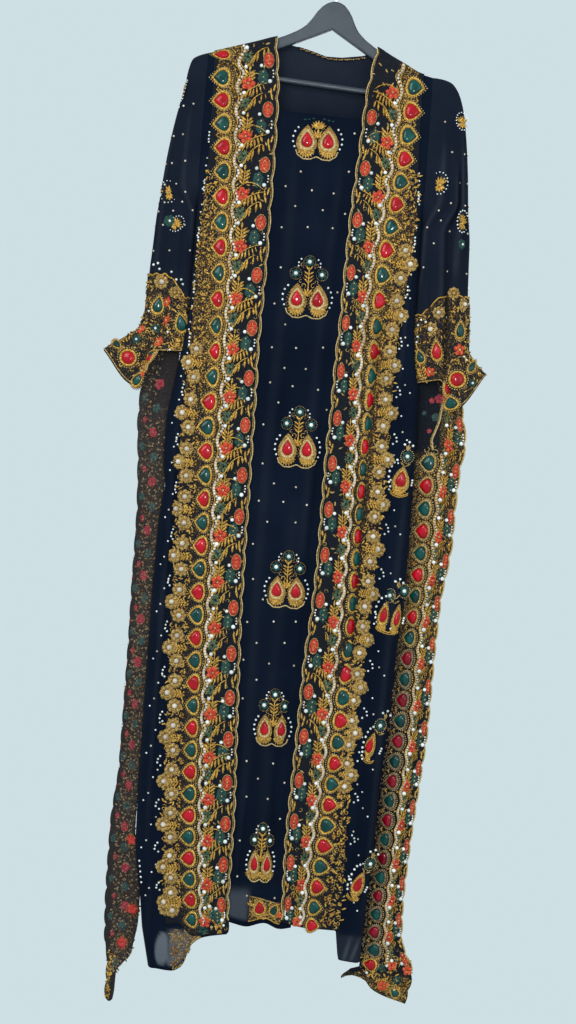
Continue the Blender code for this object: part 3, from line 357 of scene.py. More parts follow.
def seam_line(side, z):
    """The side seam, straight from level to level."""
    knots = np.append(LEVELS, [-1.67, -1.74])[::-1]
    return np.interp(z, knots, FRONT[side].read("seam", knots))


def side_turn(side, share, z, depth, radius):
    """x, and the distance from the middle, on a panel's turn to its side seam."""
    turn = radius * SIGN[side]
    angle = share * math.pi / 2
    start = seam_line(side, z) - turn
    closed_x = start + turn * np.minimum(1.0, np.sin(angle) / math.sin(0.4 * math.pi))
    closed_depth = GAP / 2 + (depth - GAP / 2) * np.cos(angle)
    closed = side_closed(z)
    open_x = start + turn * share
    return open_x + (closed_x - open_x) * closed, depth + (closed_depth - depth) * closed


def line_at(side, station, z):
    """x on a front's lines, 0 to 3 from the scalloped edge to the band's outer edge."""
    return blend(station, [FRONT[side].read(name, z) for name in ("inner", "pearl", "jewel", "outer")])


def front_across(side, station, z, depth):
    """x and depth of a front: its four lines, a flat part, then round to the side seam."""
    outer = FRONT[side].read("outer", z)
    radius = np.minimum(TURN_RADIUS, 0.7 * np.abs(seam_line(side, z) - outer))
    flat_end = seam_line(side, z) - radius * SIGN[side]
    band_x = line_at(side, np.clip(station, 0, 3), z)
    flat_x = outer + (flat_end - outer) * (station - 3.0)
    turn_x, turn_depth = side_turn(side, np.clip(station - 4.0, 0, 1), z, depth, radius)
    x = np.where(station <= 3, band_x, np.where(station < 4, flat_x, turn_x))
    return x, np.where(station < 4, depth, turn_depth)


def panel_depth(top, z):
    return OVER_ARM.read("depth", top - z) + HANG.read("depth", z)


def front_top(side, station):
    return SHOULDER.read("z", front_across(side, station, -0.17 + 0 * station, 0 * station)[0])


def front_hem(side, station, hem):
    return hem.read("z", front_across(side, station, -1.68 + 0 * station, 0 * station)[0])


def front_point(side, station, z, beyond=0.0):
    """A front's surface: its lines across, its depth over the arm and down, and its creases."""
    station, z = together(station, z)
    inside = np.clip(station, 0, 5)
    depth = panel_depth(front_top(side, inside), z)
    x, depth = front_across(side, inside, z, depth)
    x = x + SIGN[side] * ((station - inside) * 0.02 + beyond)
    steady = ease((4.6 - inside) / 0.8)
    depth = depth + creases(FRONT_CREASES[side], x, z, 0.14) * steady
    depth = depth + 0.0006 * np.sin(31 * z + 90 * x) * np.sin(17 * z) * steady
    return np.stack([x, -depth, z], axis=-1)


def centre_line(station, z):
    """x on the inset's lines: tuck, front edge, flat start, flat end, front edge, tuck."""
    right, left = FRONT["right"].read("inner", z), FRONT["left"].read("inner", z)
    start, end = CENTRE_FLAT.read("start", z), CENTRE_FLAT.read("end", z)
    return blend(station, (right - TUCK, right, start, end, left, left + TUCK))


def centre_point(x, z):
    """The inset's surface: against the fronts where it is tucked, a little behind between them."""
    x, z = together(x, z)
    against = -(OVER_ARM.read("depth", 1.0) + HANG.read("depth", z)) + CLOTH + GAP
    right, left = FRONT["right"].read("inner", z), FRONT["left"].read("inner", z)
    start, end = CENTRE_FLAT.read("start", z), CENTRE_FLAT.read("end", z)
    share = np.clip(np.minimum((x - right) / (start - right), (left - x) / (left - end)), 0, 1)
    y = against + CENTRE_SAG.read("depth", z) * ease(share)
    y = y - creases(CENTRE_CREASES, x, z, 0.12) * share
    return np.stack([x, y, z], axis=-1)


def back_point(x, shoulder, z):
    """The back's surface away from its seams: depth over the arm, soft ridges and creases."""
    grow = np.clip((-0.2 - z) / 1.2, 0, 1) ** 0.7
    ridges = sum(height * bell(x - at, width) for at, height, width in BACK_RIDGES.rows)
    return panel_depth(shoulder, z) + ridges * grow + creases(BACK_CREASES, x, z, 0.16)


def sleeve_point(side, u, row):
    """A sleeve's surface: u runs from the front seam out round the fold to the back seam."""
    u, row = together(u, row)
    table = SLEEVE[side]
    inner_x, inner_z, fold_x, fold_z, dip = (
        table.read(name, row) for name in ("inner_x", "inner_z", "fold_x", "fold_z", "dip")
    )
    closed = side_closed(inner_z)
    inner_x = inner_x - SIGN[side] * 0.0042 * ease((-0.385 - inner_z) / 0.04) * ease((inner_z + 0.73) / 0.05)
    seam_depth = OVER_ARM.read("depth", SHOULDER.read("z", inner_x) - inner_z)
    seam_depth = seam_depth + HANG.read("depth", inner_z)
    depth = seam_depth + (SLEEVE_HALF_DEPTH - seam_depth) * closed
    round_share = np.clip((u - SLEEVE_FLAT) / (1 - 2 * SLEEVE_FLAT), 0, 1)
    half_across, full_across = np.sin(np.pi * u), 0.5 - 0.5 * np.cos(2 * np.pi * round_share)
    across = half_across + (full_across - half_across) * closed
    seam_side = np.where(u < 0.5, -1.0, 1.0)
    open_y = -depth * np.cos(np.pi * u)
    closed_y = -depth * np.sin(2 * np.pi * u) + seam_side * GAP / 2 * bell(np.minimum(u, 1 - u), 0.05)
    y = open_y + (closed_y - open_y) * closed
    x = inner_x + (fold_x - inner_x) * across
    z = inner_z + (fold_z - inner_z) * across - dip * MOUTH_DIP.read("amount", across)
    grow = np.clip((GROOVES_START - z) / (GROOVES_START - GROOVES_FULL), 0, 1)
    for at, width, groove in SLEEVE_GROOVES[side]:
        y = y - np.sign(y) * groove * bell(u - at, width) * grow
    steady = ease(np.minimum(u, 1 - u) / 0.08) * (1 - 0.6 * bell(u - 0.5, 0.05))
    y = y + np.sign(y) * creases(SLEEVE_CREASES[side], u, row, 1.2) * steady
    return np.stack([x, y, z], axis=-1)


def border_point(side, across, z):
    """A side border's surface, from its seam, 0, out to its free edge, 1."""
    across, z = together(across, z)
    table = BORDER[side]
    inside = np.clip(across, 0, 1)
    clear = SIGN[side] * GAP
    panel_hem = front_hem(side, np.array(5.0), FRONT_HEM[side])
    beside = SIGN[side] * (seam_line(side, z) + clear)
    inner = SIGN[side] * table.read("inner", z)
    inner = SIGN[side] * np.where(z > panel_hem - 0.013, np.maximum(inner, beside), inner)
    outer = table.read("outer", z)
    joined_up = beside + (inner - beside) * ease((np.abs(inner - beside) - 0.016) / 0.012)
    inner = np.where(z > -1.6, joined_up, inner)
    y = np.sin(np.pi * inside) ** 2 * table.read("middle_y", z) + inside ** 2 * table.read("outer_y", z)
    y = y + 0.0012 * np.sin(24 * z + 4 * inside) * np.sin(np.pi * inside)
    x = inner + (outer - inner) * inside + SIGN[side] * (across - inside) * 0.02
    return np.stack([x, y, z], axis=-1)


# Meshes


def outwards(points):
    """Unit normals at a grid's points, from the differences along its rows and columns."""
    normal = np.cross(np.gradient(points, axis=0), np.gradient(points, axis=1))
    return normal / np.maximum(np.linalg.norm(normal, axis=-1, keepdims=True), 1e-12)


def grid_quads(rows, columns, around=False):
    corner = np.arange(rows * columns).reshape(rows, columns)
    if around:
        corner = np.concatenate([corner, corner[:, :1]], axis=1)
    quads = np.stack([corner[:-1, :-1], corner[1:, :-1], corner[1:, 1:], corner[:-1, 1:]], axis=-1)
    return quads.reshape(-1, 4)


def mesh_of(name, points, quads, tris, slots, finish=None):
    """One object from arrays of corners, four- and three-sided faces, and a finish for each face."""
    mesh = bpy.data.meshes.new(name)
    quads = np.asarray(quads, np.int32).reshape(-1, 4)
    tris = np.asarray(tris, np.int32).reshape(-1, 3)
    mesh.vertices.add(len(points))
    mesh.vertices.foreach_set("co", np.ascontiguousarray(points, np.float32).ravel())
    mesh.loops.add(quads.size + tris.size)
    mesh.loops.foreach_set("vertex_index", np.concatenate([quads.ravel(), tris.ravel()]))
    mesh.polygons.add(len(quads) + len(tris))
    starts = np.concatenate([4 * np.arange(len(quads)), quads.size + 3 * np.arange(len(tris))])
    mesh.polygons.foreach_set("loop_start", starts.astype(np.int32))
    for slot in slots:
        mesh.materials.append(slot)
    if finish is not None:
        mesh.polygons.foreach_set("material_index", finish.astype(np.int32))
    mesh.update(calc_edges=True)
    mesh.validate()
    mesh.shade_smooth()
    obj = bpy.data.objects.new(name, mesh)
    bpy.context.scene.collection.objects.link(obj)
    return obj


def paint(obj, name, values):
    """A number at each corner of the mesh, for its material to read."""
    layer = obj.data.attributes.new(name, "FLOAT", "POINT")
    layer.data.foreach_set("value", np.ascontiguousarray(values, np.float32).ravel())


def shell(name, points, thickness, slots, **painted):
    """A cloth: the grid of points is the middle of its wall."""
    obj = mesh_of(name, points.reshape(-1, 3), grid_quads(*points.shape[:2]), [], slots)
    for key, values in painted.items():
        paint(obj, key, np.broadcast_to(values, points.shape[:2]))
    wall = obj.modifiers.new("wall", "SOLIDIFY")
    wall.thickness = thickness
    wall.offset = 0.0
    return obj


def rows_down(top, hem, count):
    """Heights of the rows under each top: close together over the arm, then even to the hem."""
    top, hem = np.asarray(top, float)[None], np.asarray(hem, float)[None]
    near = top - np.array([0.0, 0.0004, 0.0008, 0.0016, 0.003, 0.005, 0.008, 0.014, 0.021])[:, None]
    first = 0.03
    even = top - first + (hem - top + first) * np.linspace(0, 1, count)[:, None]
    return np.concatenate([near, even])


# Small shapes, each a (points, quads, tris) set within a unit or in millimetres


def drop_outline(sides):
    """Half a unit-high drop's outline: sin t times a power of sin t/2, its tip at the top."""
    t = np.linspace(0, 2 * np.pi, sides, endpoint=False)
    x = np.sin(t) * np.abs(np.sin(t / 2)) ** 0.9
    return np.stack([x / x.max(), np.cos(t)], axis=1)


def round_outline(sides):
    t = np.linspace(0, 2 * np.pi, sides, endpoint=False)
    return np.stack([np.sin(t), np.cos(t)], axis=1)


def dome(outline, rings, top=1.0):
    """A raised form over an outline: each ring is a share of the outline at a share of the height."""
    sides = len(outline)
    points = [np.column_stack([outline * size, np.full(sides, height)]) for size, height in rings]
    points = np.concatenate(points + [np.array([[0.0, 0.0, top]])])
    quads = grid_quads(len(rings), sides, around=True)
    last = (len(rings) - 1) * sides + np.arange(sides)
    tris = np.stack([last, np.full(sides, len(points) - 1), np.roll(last, -1)], axis=1)
    return points, quads, tris


def collar(outline, inner, outer):
    """A half-round ring that follows an outline between two of its sizes."""
    profile = ((0.0, 0.0), (0.25, 0.85), (0.75, 0.85), (1.0, 0.0))
    rings = [
        np.column_stack([outline * (inner + (outer - inner) * share), np.full(len(outline), height)])
        for share, height in profile
    ]
    quads = grid_quads(len(profile), len(outline), around=True)[:, ::-1]
    return np.concatenate(rings), quads, np.zeros((0, 3), int)


def moved_shape(shape, at=(0.0, 0.0), size=1.0, turn=0.0):
    """A shape sized, turned and shifted within its own plane; sizes are across, up and out."""
    points, quads, tris = shape
    size = np.broadcast_to(np.asarray(size, float), (3,))
    points = points * size
    c, s = math.cos(turn), math.sin(turn)
    x, y = points[:, 0] * c - points[:, 1] * s + at[0], points[:, 0] * s + points[:, 1] * c + at[1]
    return np.stack([x, y, points[:, 2]], axis=1), quads, tris


def joined(*shapes):
    points, quads, tris, first = [], [], [], 0
    for shape_points, shape_quads, shape_tris in shapes:
        points.append(shape_points)
        quads.append(shape_quads + first)
        tris.append(shape_tris + first)
        first += len(shape_points)
    return np.concatenate(points), np.concatenate(quads), np.concatenate(tris)


def leaf_shape():
    """A lens one unit long from its foot, half width 1, its middle rib raised to height 1."""
    t = np.array([0.25, 0.55, 0.82])
    half = np.array([0.75, 1.0, 0.6])
    points = [(0, 0, 0), (0, 1, 0)]
    points += [(-h, y, 0.15) for h, y in zip(half, t)] + [(h, y, 0.15) for h, y in zip(half, t)]
    points += [(0, y, 1.0 - 0.25 * abs(y - 0.5)) for y in t]
    quads = np.array([(2, 8, 9, 3), (3, 9, 10, 4), (8, 5, 6, 9), (9, 6, 7, 10)])
    tris = np.array([(0, 8, 2), (0, 5, 8), (4, 10, 1), (10, 7, 1)])
    return np.array(points, float), quads, tris


def strand(path, half_width, height):
    """A half-round thread laid flat along a path of (x, y) points, tapering to its ends."""
    path = np.asarray(path, float)
    along = np.gradient(path, axis=0)
    along /= np.linalg.norm(along, axis=1, keepdims=True)
    side = np.stack([along[:, 1], -along[:, 0]], axis=1)
    taper = np.clip(np.minimum(np.arange(len(path)) + 0.4, len(path) - 0.6 - np.arange(len(path))), 0, 1)
    profile = ((-1.0, 0.0), (-0.6, 0.8), (0.6, 0.8), (1.0, 0.0))
    points = [
        np.column_stack([path + side * (half_width * taper * a)[:, None], height * taper * h])
        for a, h in profile
    ]
    points = np.stack(points, axis=1).reshape(-1, 3)
    return points, grid_quads(len(path), 4)[:, ::-1], np.zeros((0, 3), int)


def bow(start, end, bend, count=7):
    """Points on a curve from start to end that bows sideways by bend."""
    start, end = np.asarray(start, float), np.asarray(end, float)
    t = np.linspace(0, 1, count)[:, None]
    across = np.array([-(end - start)[1], (end - start)[0]])
    return start + (end - start) * t + across * bend * 4 * t * (1 - t)


BEAD = dome(round_outline(6), ((1.0, 0.0), (0.78, 0.62)))
DOT = dome(round_outline(5), ((1.0, 0.0), (0.75, 0.7)))
PEARL = dome(round_outline(8), ((1.0, 0.0), (0.9, 0.45), (0.55, 0.85)))
STONE = dome(drop_outline(18), ((1.0, 0.0), (0.94, 0.55), (0.7, 0.88), (0.35, 0.98)))
OVAL = dome(round_outline(16), ((1.0, 0.0), (0.92, 0.55), (0.65, 0.88), (0.3, 0.98)))
LEAF = leaf_shape()
PETAL = dome(round_outline(7), ((1.0, 0.0), (0.62, 0.8)), 0.9)


def flower_shape(petals, reach, width, length, height, start=0.0):
    """Raised petals round a middle, each an oval dome whose far end reaches the flower's edge."""
    parts = []
    for k in range(petals):
        angle = start + 2 * math.pi * k / petals
        middle = reach - length
        at = (-math.sin(angle) * middle, math.cos(angle) * middle)
        parts.append(moved_shape(PETAL, at, (width, length, height), angle))
    return joined(*parts)


def bead_ring(outline, size, radius, height, count):
    """Beads on an outline of that size (across, up), evenly spaced by its length."""
    path = outline * np.asarray(size, float)
    closed = np.vstack([path, path[:1]])
    steps = np.concatenate([[0], np.cumsum(np.linalg.norm(np.diff(closed, axis=0), axis=1))])
    at = np.linspace(0, steps[-1], count, endpoint=False)
    x, y = np.interp(at, steps, closed[:, 0]), np.interp(at, steps, closed[:, 1])
    return joined(*(moved_shape(DOT, (a, b), (radius, radius, height)) for a, b in zip(x, y)))


# Laying shapes on a skin


class Skin:
    """A surface point(a, b) and, at each place, the directions across, up and out."""

    def __init__(self, point, steps, b_up=1.0, outward=(0, -1, 0)):
        self.point, self.steps, self.b_up = point, steps, b_up
        self.outward = outward if callable(outward) else np.asarray(outward, float)

    def at(self, a, b, lift):
        a, b = together(np.atleast_1d(a), b)
        step_a, step_b = self.steps
        middle = self.point(a, b)
        over = self.point(a + step_a, b) - self.point(a - step_a, b)
        along = (self.point(a, b + step_b) - self.point(a, b - step_b)) * self.b_up
        along /= np.maximum(np.linalg.norm(along, axis=-1, keepdims=True), 1e-9)
        out = np.cross(over, along)
        out /= np.maximum(np.linalg.norm(out, axis=-1, keepdims=True), 1e-9)
        hint = self.outward(middle) if callable(self.outward) else self.outward
        out *= np.where((out * hint).sum(-1, keepdims=True) < 0, -1.0, 1.0)
        across = np.cross(along, out)
        across *= np.where((across * over).sum(-1, keepdims=True) < 0, -1.0, 1.0)
        return middle + out * np.asarray(lift)[..., None], across, along, out


class Needlework:
    """Small shapes gathered into one mesh, each face with its own finish.

    Sizes and lifts, how far a shape stands off its skin, are in millimetres.
    """

    def __init__(self, skin, lift):
        self.skin, self.lift = skin, lift
        self.points, self.quads, self.tris, self.quad_finish, self.tri_finish = [], [], [], [], []
        self.count = 0

    def put(self, shape, a, b, finish, size=1.0, turn=0.0, lift=0.0):
        """The shape at every place (a, b), its size one number, (round, out) or (across, up, out)."""
        middle, across, up, out = self.skin.at(a, b, (self.lift + np.asarray(lift)) / MM)
        points, quads, tris = shape
        number = len(middle)
        size = size if isinstance(size, tuple) else (size, size)
        size = (size[0], *size)[-3:]
        size = np.stack([np.broadcast_to(np.asarray(s, float), (number,)) for s in size], axis=1)
        local = points[None] * size[:, None, :] / MM
        turn = np.broadcast_to(np.asarray(turn, float), (number,))[:, None]
        x = local[..., 0] * np.cos(turn) - local[..., 1] * np.sin(turn)
        y = local[..., 0] * np.sin(turn) + local[..., 1] * np.cos(turn)
        placed = (
            middle[:, None] + across[:, None] * x[..., None] + up[:, None] * y[..., None]
            + out[:, None] * local[..., 2:3]
        )
        mirrored = (np.cross(across[0], up[0]) * out[0]).sum() < 0
        firsts = self.count + np.arange(number)[:, None, None] * len(points)
        self.points.append(placed.reshape(-1, 3))
        for kind, faces, finishes in (
            (self.quads, quads, self.quad_finish), (self.tris, tris, self.tri_finish),
        ):
            if len(faces):
                turned = faces[:, ::-1] if mirrored else faces
                kind.append((turned[None] + firsts).reshape(-1, faces.shape[1]))
                finishes.append(np.full(number * len(faces), FINISHES.index(finish)))
        self.count += number * len(points)

    def cord(self, a, b, finish, half_width, height):
        """A half-round cord along a line of places on the skin."""
        middle, _, _, out = self.skin.at(a, b, self.lift / MM)
        along = np.gradient(middle, axis=0)
        side = np.cross(along, out)
        side /= np.maximum(np.linalg.norm(side, axis=1, keepdims=True), 1e-9)
        angle = np.linspace(0, np.pi, 5)
        rim = side[:, None] * (np.cos(angle) * half_width / MM)[None, :, None]
        rise = out[:, None] * (np.sin(angle) * height / MM)[None, :, None]
        points = middle[:, None] + rim + rise
        quads = grid_quads(len(middle), 5)
        self.points.append(points.reshape(-1, 3))
        self.quads.append(quads + self.count)
        self.quad_finish.append(np.full(len(quads), FINISHES.index(finish)))
        self.count += points.shape[0] * points.shape[1]

    def sew(self, name, *nodes):
        """One piece of everything put so far, in place of these nodes."""
        finish = np.concatenate(self.quad_finish + self.tri_finish)
        used = np.unique(finish)
        slots = [MATERIALS[FINISHES[k]] for k in used]
        tris = np.concatenate(self.tris) if self.tris else np.zeros((0, 3), int)
        points, quads = np.concatenate(self.points), np.concatenate(self.quads)
        made = mesh_of(name, points, quads, tris, slots, np.searchsorted(used, finish))
        finished(made, "embroidery", *nodes)


# Materials


def give(tree, socket, value):
    """A socket's value: a link from another socket, a colour or a number."""
    if isinstance(value, bpy.types.NodeSocket):
        tree.links.new(socket, value)
    else:
        socket.default_value = (*value, 1.0) if isinstance(value, tuple) else value


def feed(tree, node, **inputs):
    """The node, with its inputs given by name."""
    for name, value in inputs.items():
        give(tree, node.inputs[name.replace("_", " ")], value)
    return node


def new_node(tree, kind, **inputs):
    return feed(tree, tree.nodes.new("ShaderNode" + kind), **inputs)


def math_node(tree, operation, *inputs):
    node = new_node(tree, "Math")
    node.operation = operation
    for socket, value in zip(node.inputs, inputs):
        give(tree, socket, value)
    return node.outputs[0]


def object_place(tree):
    return new_node(tree, "TexCoord").outputs["Object"]


def noise_node(tree, vector, scale, detail=2.0, roughness=0.5, distortion=0.0):
    node = new_node(tree, "TexNoise", Vector=vector, Scale=scale, Detail=detail)
    return feed(tree, node, Roughness=roughness, Distortion=distortion).outputs["Fac"]


def wave_node(tree, direction, **inputs):
    node = new_node(tree, "TexWave", **inputs)
    node.bands_direction = direction
    return node.outputs["Fac"]


def range_node(tree, value, low, high, to_low=0.0, to_high=1.0):
    node = new_node(tree, "MapRange", Value=value, From_Min=low, From_Max=high)
    return feed(tree, node, To_Min=to_low, To_Max=to_high).outputs["Result"]


def ramp_node(tree, value, *stops):
    """A colour that runs through the stops (position, linear red, green, blue)."""
    node = new_node(tree, "ValToRGB", Fac=value)
    ramp = node.color_ramp
    while len(ramp.elements) < len(stops):
        ramp.elements.new(0.5)
    for element, (position, *colour) in zip(ramp.elements, stops):
        element.position = position
        element.color = (*colour, 1.0)
    return node.outputs["Color"]


def mix_colour(tree, share, first, second):
    node = new_node(tree, "Mix")
    node.data_type = "RGBA"
    return feed(tree, node, Factor=share, A=first, B=second).outputs["Result"]


def bump_node(tree, height, distance, strength=1.0):
    return new_node(tree, "Bump", Height=height, Distance=distance, Strength=strength).outputs["Normal"]


def attribute_node(tree, name):
    node = new_node(tree, "Attribute")
    node.attribute_name = name
    return node.outputs["Fac"]


def new_group(name, inputs, outputs):
    """A node group that takes and gives numbers: its tree, what it is given, and its last node."""
    group = bpy.data.node_groups.new(name, "ShaderNodeTree")
    for way, names in (("INPUT", inputs), ("OUTPUT", outputs)):
        for socket in names.split():
            group.interface.new_socket(socket, in_out=way, socket_type="NodeSocketFloat")
    return group, group.nodes.new("NodeGroupInput").outputs, group.nodes.new("NodeGroupOutput")


def place_group(tree, group, **inputs):
    node = new_node(tree, "Group")
    node.node_tree = group
    return feed(tree, node, **inputs).outputs


def weave_group():
    """Crepe weave: two crossed fine waves broken up by noise, and a slow change of shade."""
    group, given, last = new_group("crepe_weave", "Threads", "Height Shade")
    place = object_place(group)
    threads = {"Scale": given["Threads"], "Distortion": 1.6, "Detail": 1.0, "Detail_Scale": 2.0}
    waves = [wave_node(group, direction, Vector=place, **threads) for direction in ("X", "Z")]
    crossed = math_node(group, "MULTIPLY", *waves)
    slow = math_node(group, "MULTIPLY", noise_node(group, place, 9.0, 3.0, 0.55), 0.7)
    height = math_node(group, "MULTIPLY_ADD", noise_node(group, place, 2600.0), 0.8, crossed)
    feed(group, last, Height=height, Shade=math_node(group, "MULTIPLY_ADD", crossed, 0.3, slow))
    return group


def stitch_group():
    """Close metal-thread stitches: short cells, fine twist lines, and a tone that is partly random per
    stitch and partly painted shade and highlight, darker between the stitches and paler on their raised
    middles and twists.
    """
    group, given, last = new_group("thread_stitches", "Stitches", "Height Shade")
    place, stitches = object_place(group), given["Stitches"]
    cells = new_node(group, "TexVoronoi", Vector=place, Scale=stitches).outputs
    finer = math_node(group, "MULTIPLY", stitches, 0.55)
    twist = wave_node(group, "DIAGONAL", Vector=place, Scale=finer, Distortion=6.0, Detail=1.0)
    round_cell = math_node(group, "SUBTRACT", 1.0, cells["Distance"])
    height = math_node(group, "MULTIPLY_ADD", round_cell, 0.6, math_node(group, "MULTIPLY", twist, 0.5))
    tone = new_node(group, "SeparateColor", Color=cells["Color"]).outputs["Red"]
    # Painted shade and highlight: half of the tone follows the stitches' height.
    shade = math_node(group, "MULTIPLY_ADD", tone, 0.45, math_node(group, "MULTIPLY", height, 0.5))
    feed(group, last, Height=height, Shade=shade)
    return group


def couching_group():
    """Couched thread on cloth: thin curling lines, the level lines of two noises, and tiny knots."""
    group, given, last = new_group("couched_lines", "Lines Cover", "Mask Height")
    place, lines = object_place(group), given["Lines"]
    nearness = []
    for scale in (1.0, 1.7):
        field = noise_node(group, place, math_node(group, "MULTIPLY", lines, scale), 1.0, 0.4, 0.6)
        away = math_node(group, "ABSOLUTE", math_node(group, "SUBTRACT", field, 0.5))
        nearness.append(math_node(group, "MULTIPLY_ADD", away, -16.0, 1.0))
    finer = math_node(group, "MULTIPLY", lines, 2.6)
    cells = new_node(group, "TexVoronoi", Vector=place, Scale=finer).outputs
    knot = math_node(group, "MULTIPLY_ADD", cells["Distance"], -2.6, 0.9)
    height = math_node(group, "MAXIMUM", math_node(group, "MAXIMUM", *nearness), knot)
    lifted = math_node(group, "MULTIPLY_ADD", given["Cover"], 0.9, height)
    raised = math_node(group, "MAXIMUM", height, 0.0)
    feed(group, last, Mask=range_node(group, lifted, 0.7, 0.96), Height=raised)
    return group


def shaded(made, **sockets):
    """The material, with these sockets of its shader given."""
    feed(made.node_tree, made.node_tree.nodes["Principled BSDF"], **sockets)
    return made


def new_material(name, **sockets):
    """A material whose constants sit on the shader's own sockets, and its node tree."""
    made = bpy.data.materials.new(name)
    made.use_nodes = True
    return shaded(made, **sockets), made.node_tree


def thread_material(name, dark, middle, bright, stitches, metallic, roughness):
    """Thread in three shades with raised stitches; the stitches' tone picks the shade, partly at random and
    partly as painted shade and highlight from their relief.
    """
    made, tree = new_material(name, Metallic=metallic, Roughness=roughness, Specular_IOR_Level=0.25)
    work = place_group(tree, STITCHES, Stitches=stitches)
    colour = ramp_node(tree, work["Shade"], (0.22, *dark), (0.5, *middle), (0.82, *bright))
    return shaded(made, Base_Color=colour, Normal=bump_node(tree, work["Height"], 0.0005))


def stone_material(name, deep, light, roughness=0.1):
    """Polished resin stone: two close shades, faint scratches and a clear coat."""
    made, tree = new_material(
        name, Roughness=roughness, Coat_Weight=0.1, Coat_Roughness=0.05, Specular_IOR_Level=0.22,
    )
    place = object_place(tree)
    colour = ramp_node(tree, noise_node(tree, place, 60.0), (0.35, *deep), (0.65, *light))
    worn = range_node(tree, noise_node(tree, place, 900.0), 0.3, 0.8, roughness * 0.8, roughness * 2.2)
    return shaded(made, Base_Color=colour, Roughness=worn)


def cloth_material():
    """Dark navy georgette: crepe weave, and a paler tone where one layer hangs alone, with painted highlight
    along the crease ridges; both come from one painted attribute.
    """
    made, tree = new_material(
        "georgette", Roughness=0.8, Sheen_Weight=0.02, Sheen_Roughness=0.4, Sheen_Tint=(0.35, 0.45, 0.62),
        Specular_IOR_Level=0.04,
    )
    weave = place_group(tree, WEAVE, Threads=900.0)
    shade = weave["Shade"]
    navy = ramp_node(tree, shade, (0.25, 0.002, 0.0046, 0.012), (0.75, 0.0046, 0.009, 0.0205))
    # The pale tone stands for single sheer layers and for painted highlight on crease ridges.
    pale = ramp_node(tree, shade, (0.25, 0.075, 0.085, 0.105), (0.75, 0.14, 0.152, 0.172))
    return shaded(
        made, Base_Color=mix_colour(tree, attribute_node(tree, "sheer"), navy, pale),
        Normal=bump_node(tree, weave["Height"], 0.00025, 0.7),
        Roughness=range_node(tree, shade, 0.2, 0.8, 0.88, 0.7),
    )


def ground_material(name, cloth, dark, middle, bright, metallic):
    """Embroidered ground: couched lines over cloth, closing up to solid stitches where 'gold' is 1."""
    made, tree = new_material(name, Roughness=0.5, Specular_IOR_Level=0.15)
    lines = place_group(tree, COUCHING, Lines=170.0, Cover=attribute_node(tree, "gold"))
    work = place_group(tree, STITCHES, Stitches=620.0)
    mask = lines["Mask"]
    # The stitches' tone carries painted shade and highlight from their relief, as well as random tone.
    thread = ramp_node(tree, work["Shade"], (0.22, *dark), (0.5, *middle), (0.85, *bright))
    height = math_node(tree, "MULTIPLY_ADD", work["Height"], 0.35, lines["Height"])
    return shaded(
        made, Base_Color=mix_colour(tree, mask, cloth, thread),
        Metallic=math_node(tree, "MULTIPLY", mask, metallic), Normal=bump_node(tree, height, 0.0009),
        Roughness=range_node(tree, mask, 0.0, 1.0, 0.8, 0.42),
    )


def plastic_material():
    made, tree = new_material("hanger_plastic", Roughness=0.4, Coat_Weight=0.1, Coat_Roughness=0.3)
    place = object_place(tree)
    tone, grain = noise_node(tree, place, 14.0, 3.0), noise_node(tree, place, 1400.0)
    return shaded(
        made, Base_Color=ramp_node(tree, tone, (0.3, 0.018, 0.025, 0.036), (0.7, 0.028, 0.037, 0.05)),
        Normal=bump_node(tree, grain, 0.00012, 0.6),
        Roughness=range_node(tree, noise_node(tree, place, 55.0, 3.0), 0.3, 0.7, 0.34, 0.5),
    )


def wire_material():
    made, tree = new_material("polished_wire", Metallic=1.0, Roughness=0.2)
    tone = noise_node(tree, object_place(tree), 240.0)
    return shaded(
        made, Base_Color=ramp_node(tree, tone, (0.3, 0.5, 0.51, 0.53), (0.7, 0.68, 0.69, 0.71)),
        Roughness=range_node(tree, tone, 0.3, 0.7, 0.14, 0.3),
    )


def floor_material():
    made, tree = new_material("floor", Roughness=0.9)
    tone = noise_node(tree, object_place(tree), 3.0)
    return shaded(made, Base_Color=ramp_node(tree, tone, (0.3, 0.36, 0.43, 0.46), (0.7, 0.38, 0.45, 0.48)))


WEAVE, STITCHES, COUCHING = weave_group(), stitch_group(), couching_group()
GOLD = ((0.1, 0.04, 0.005), (0.51, 0.27, 0.038), (0.88, 0.59, 0.16))
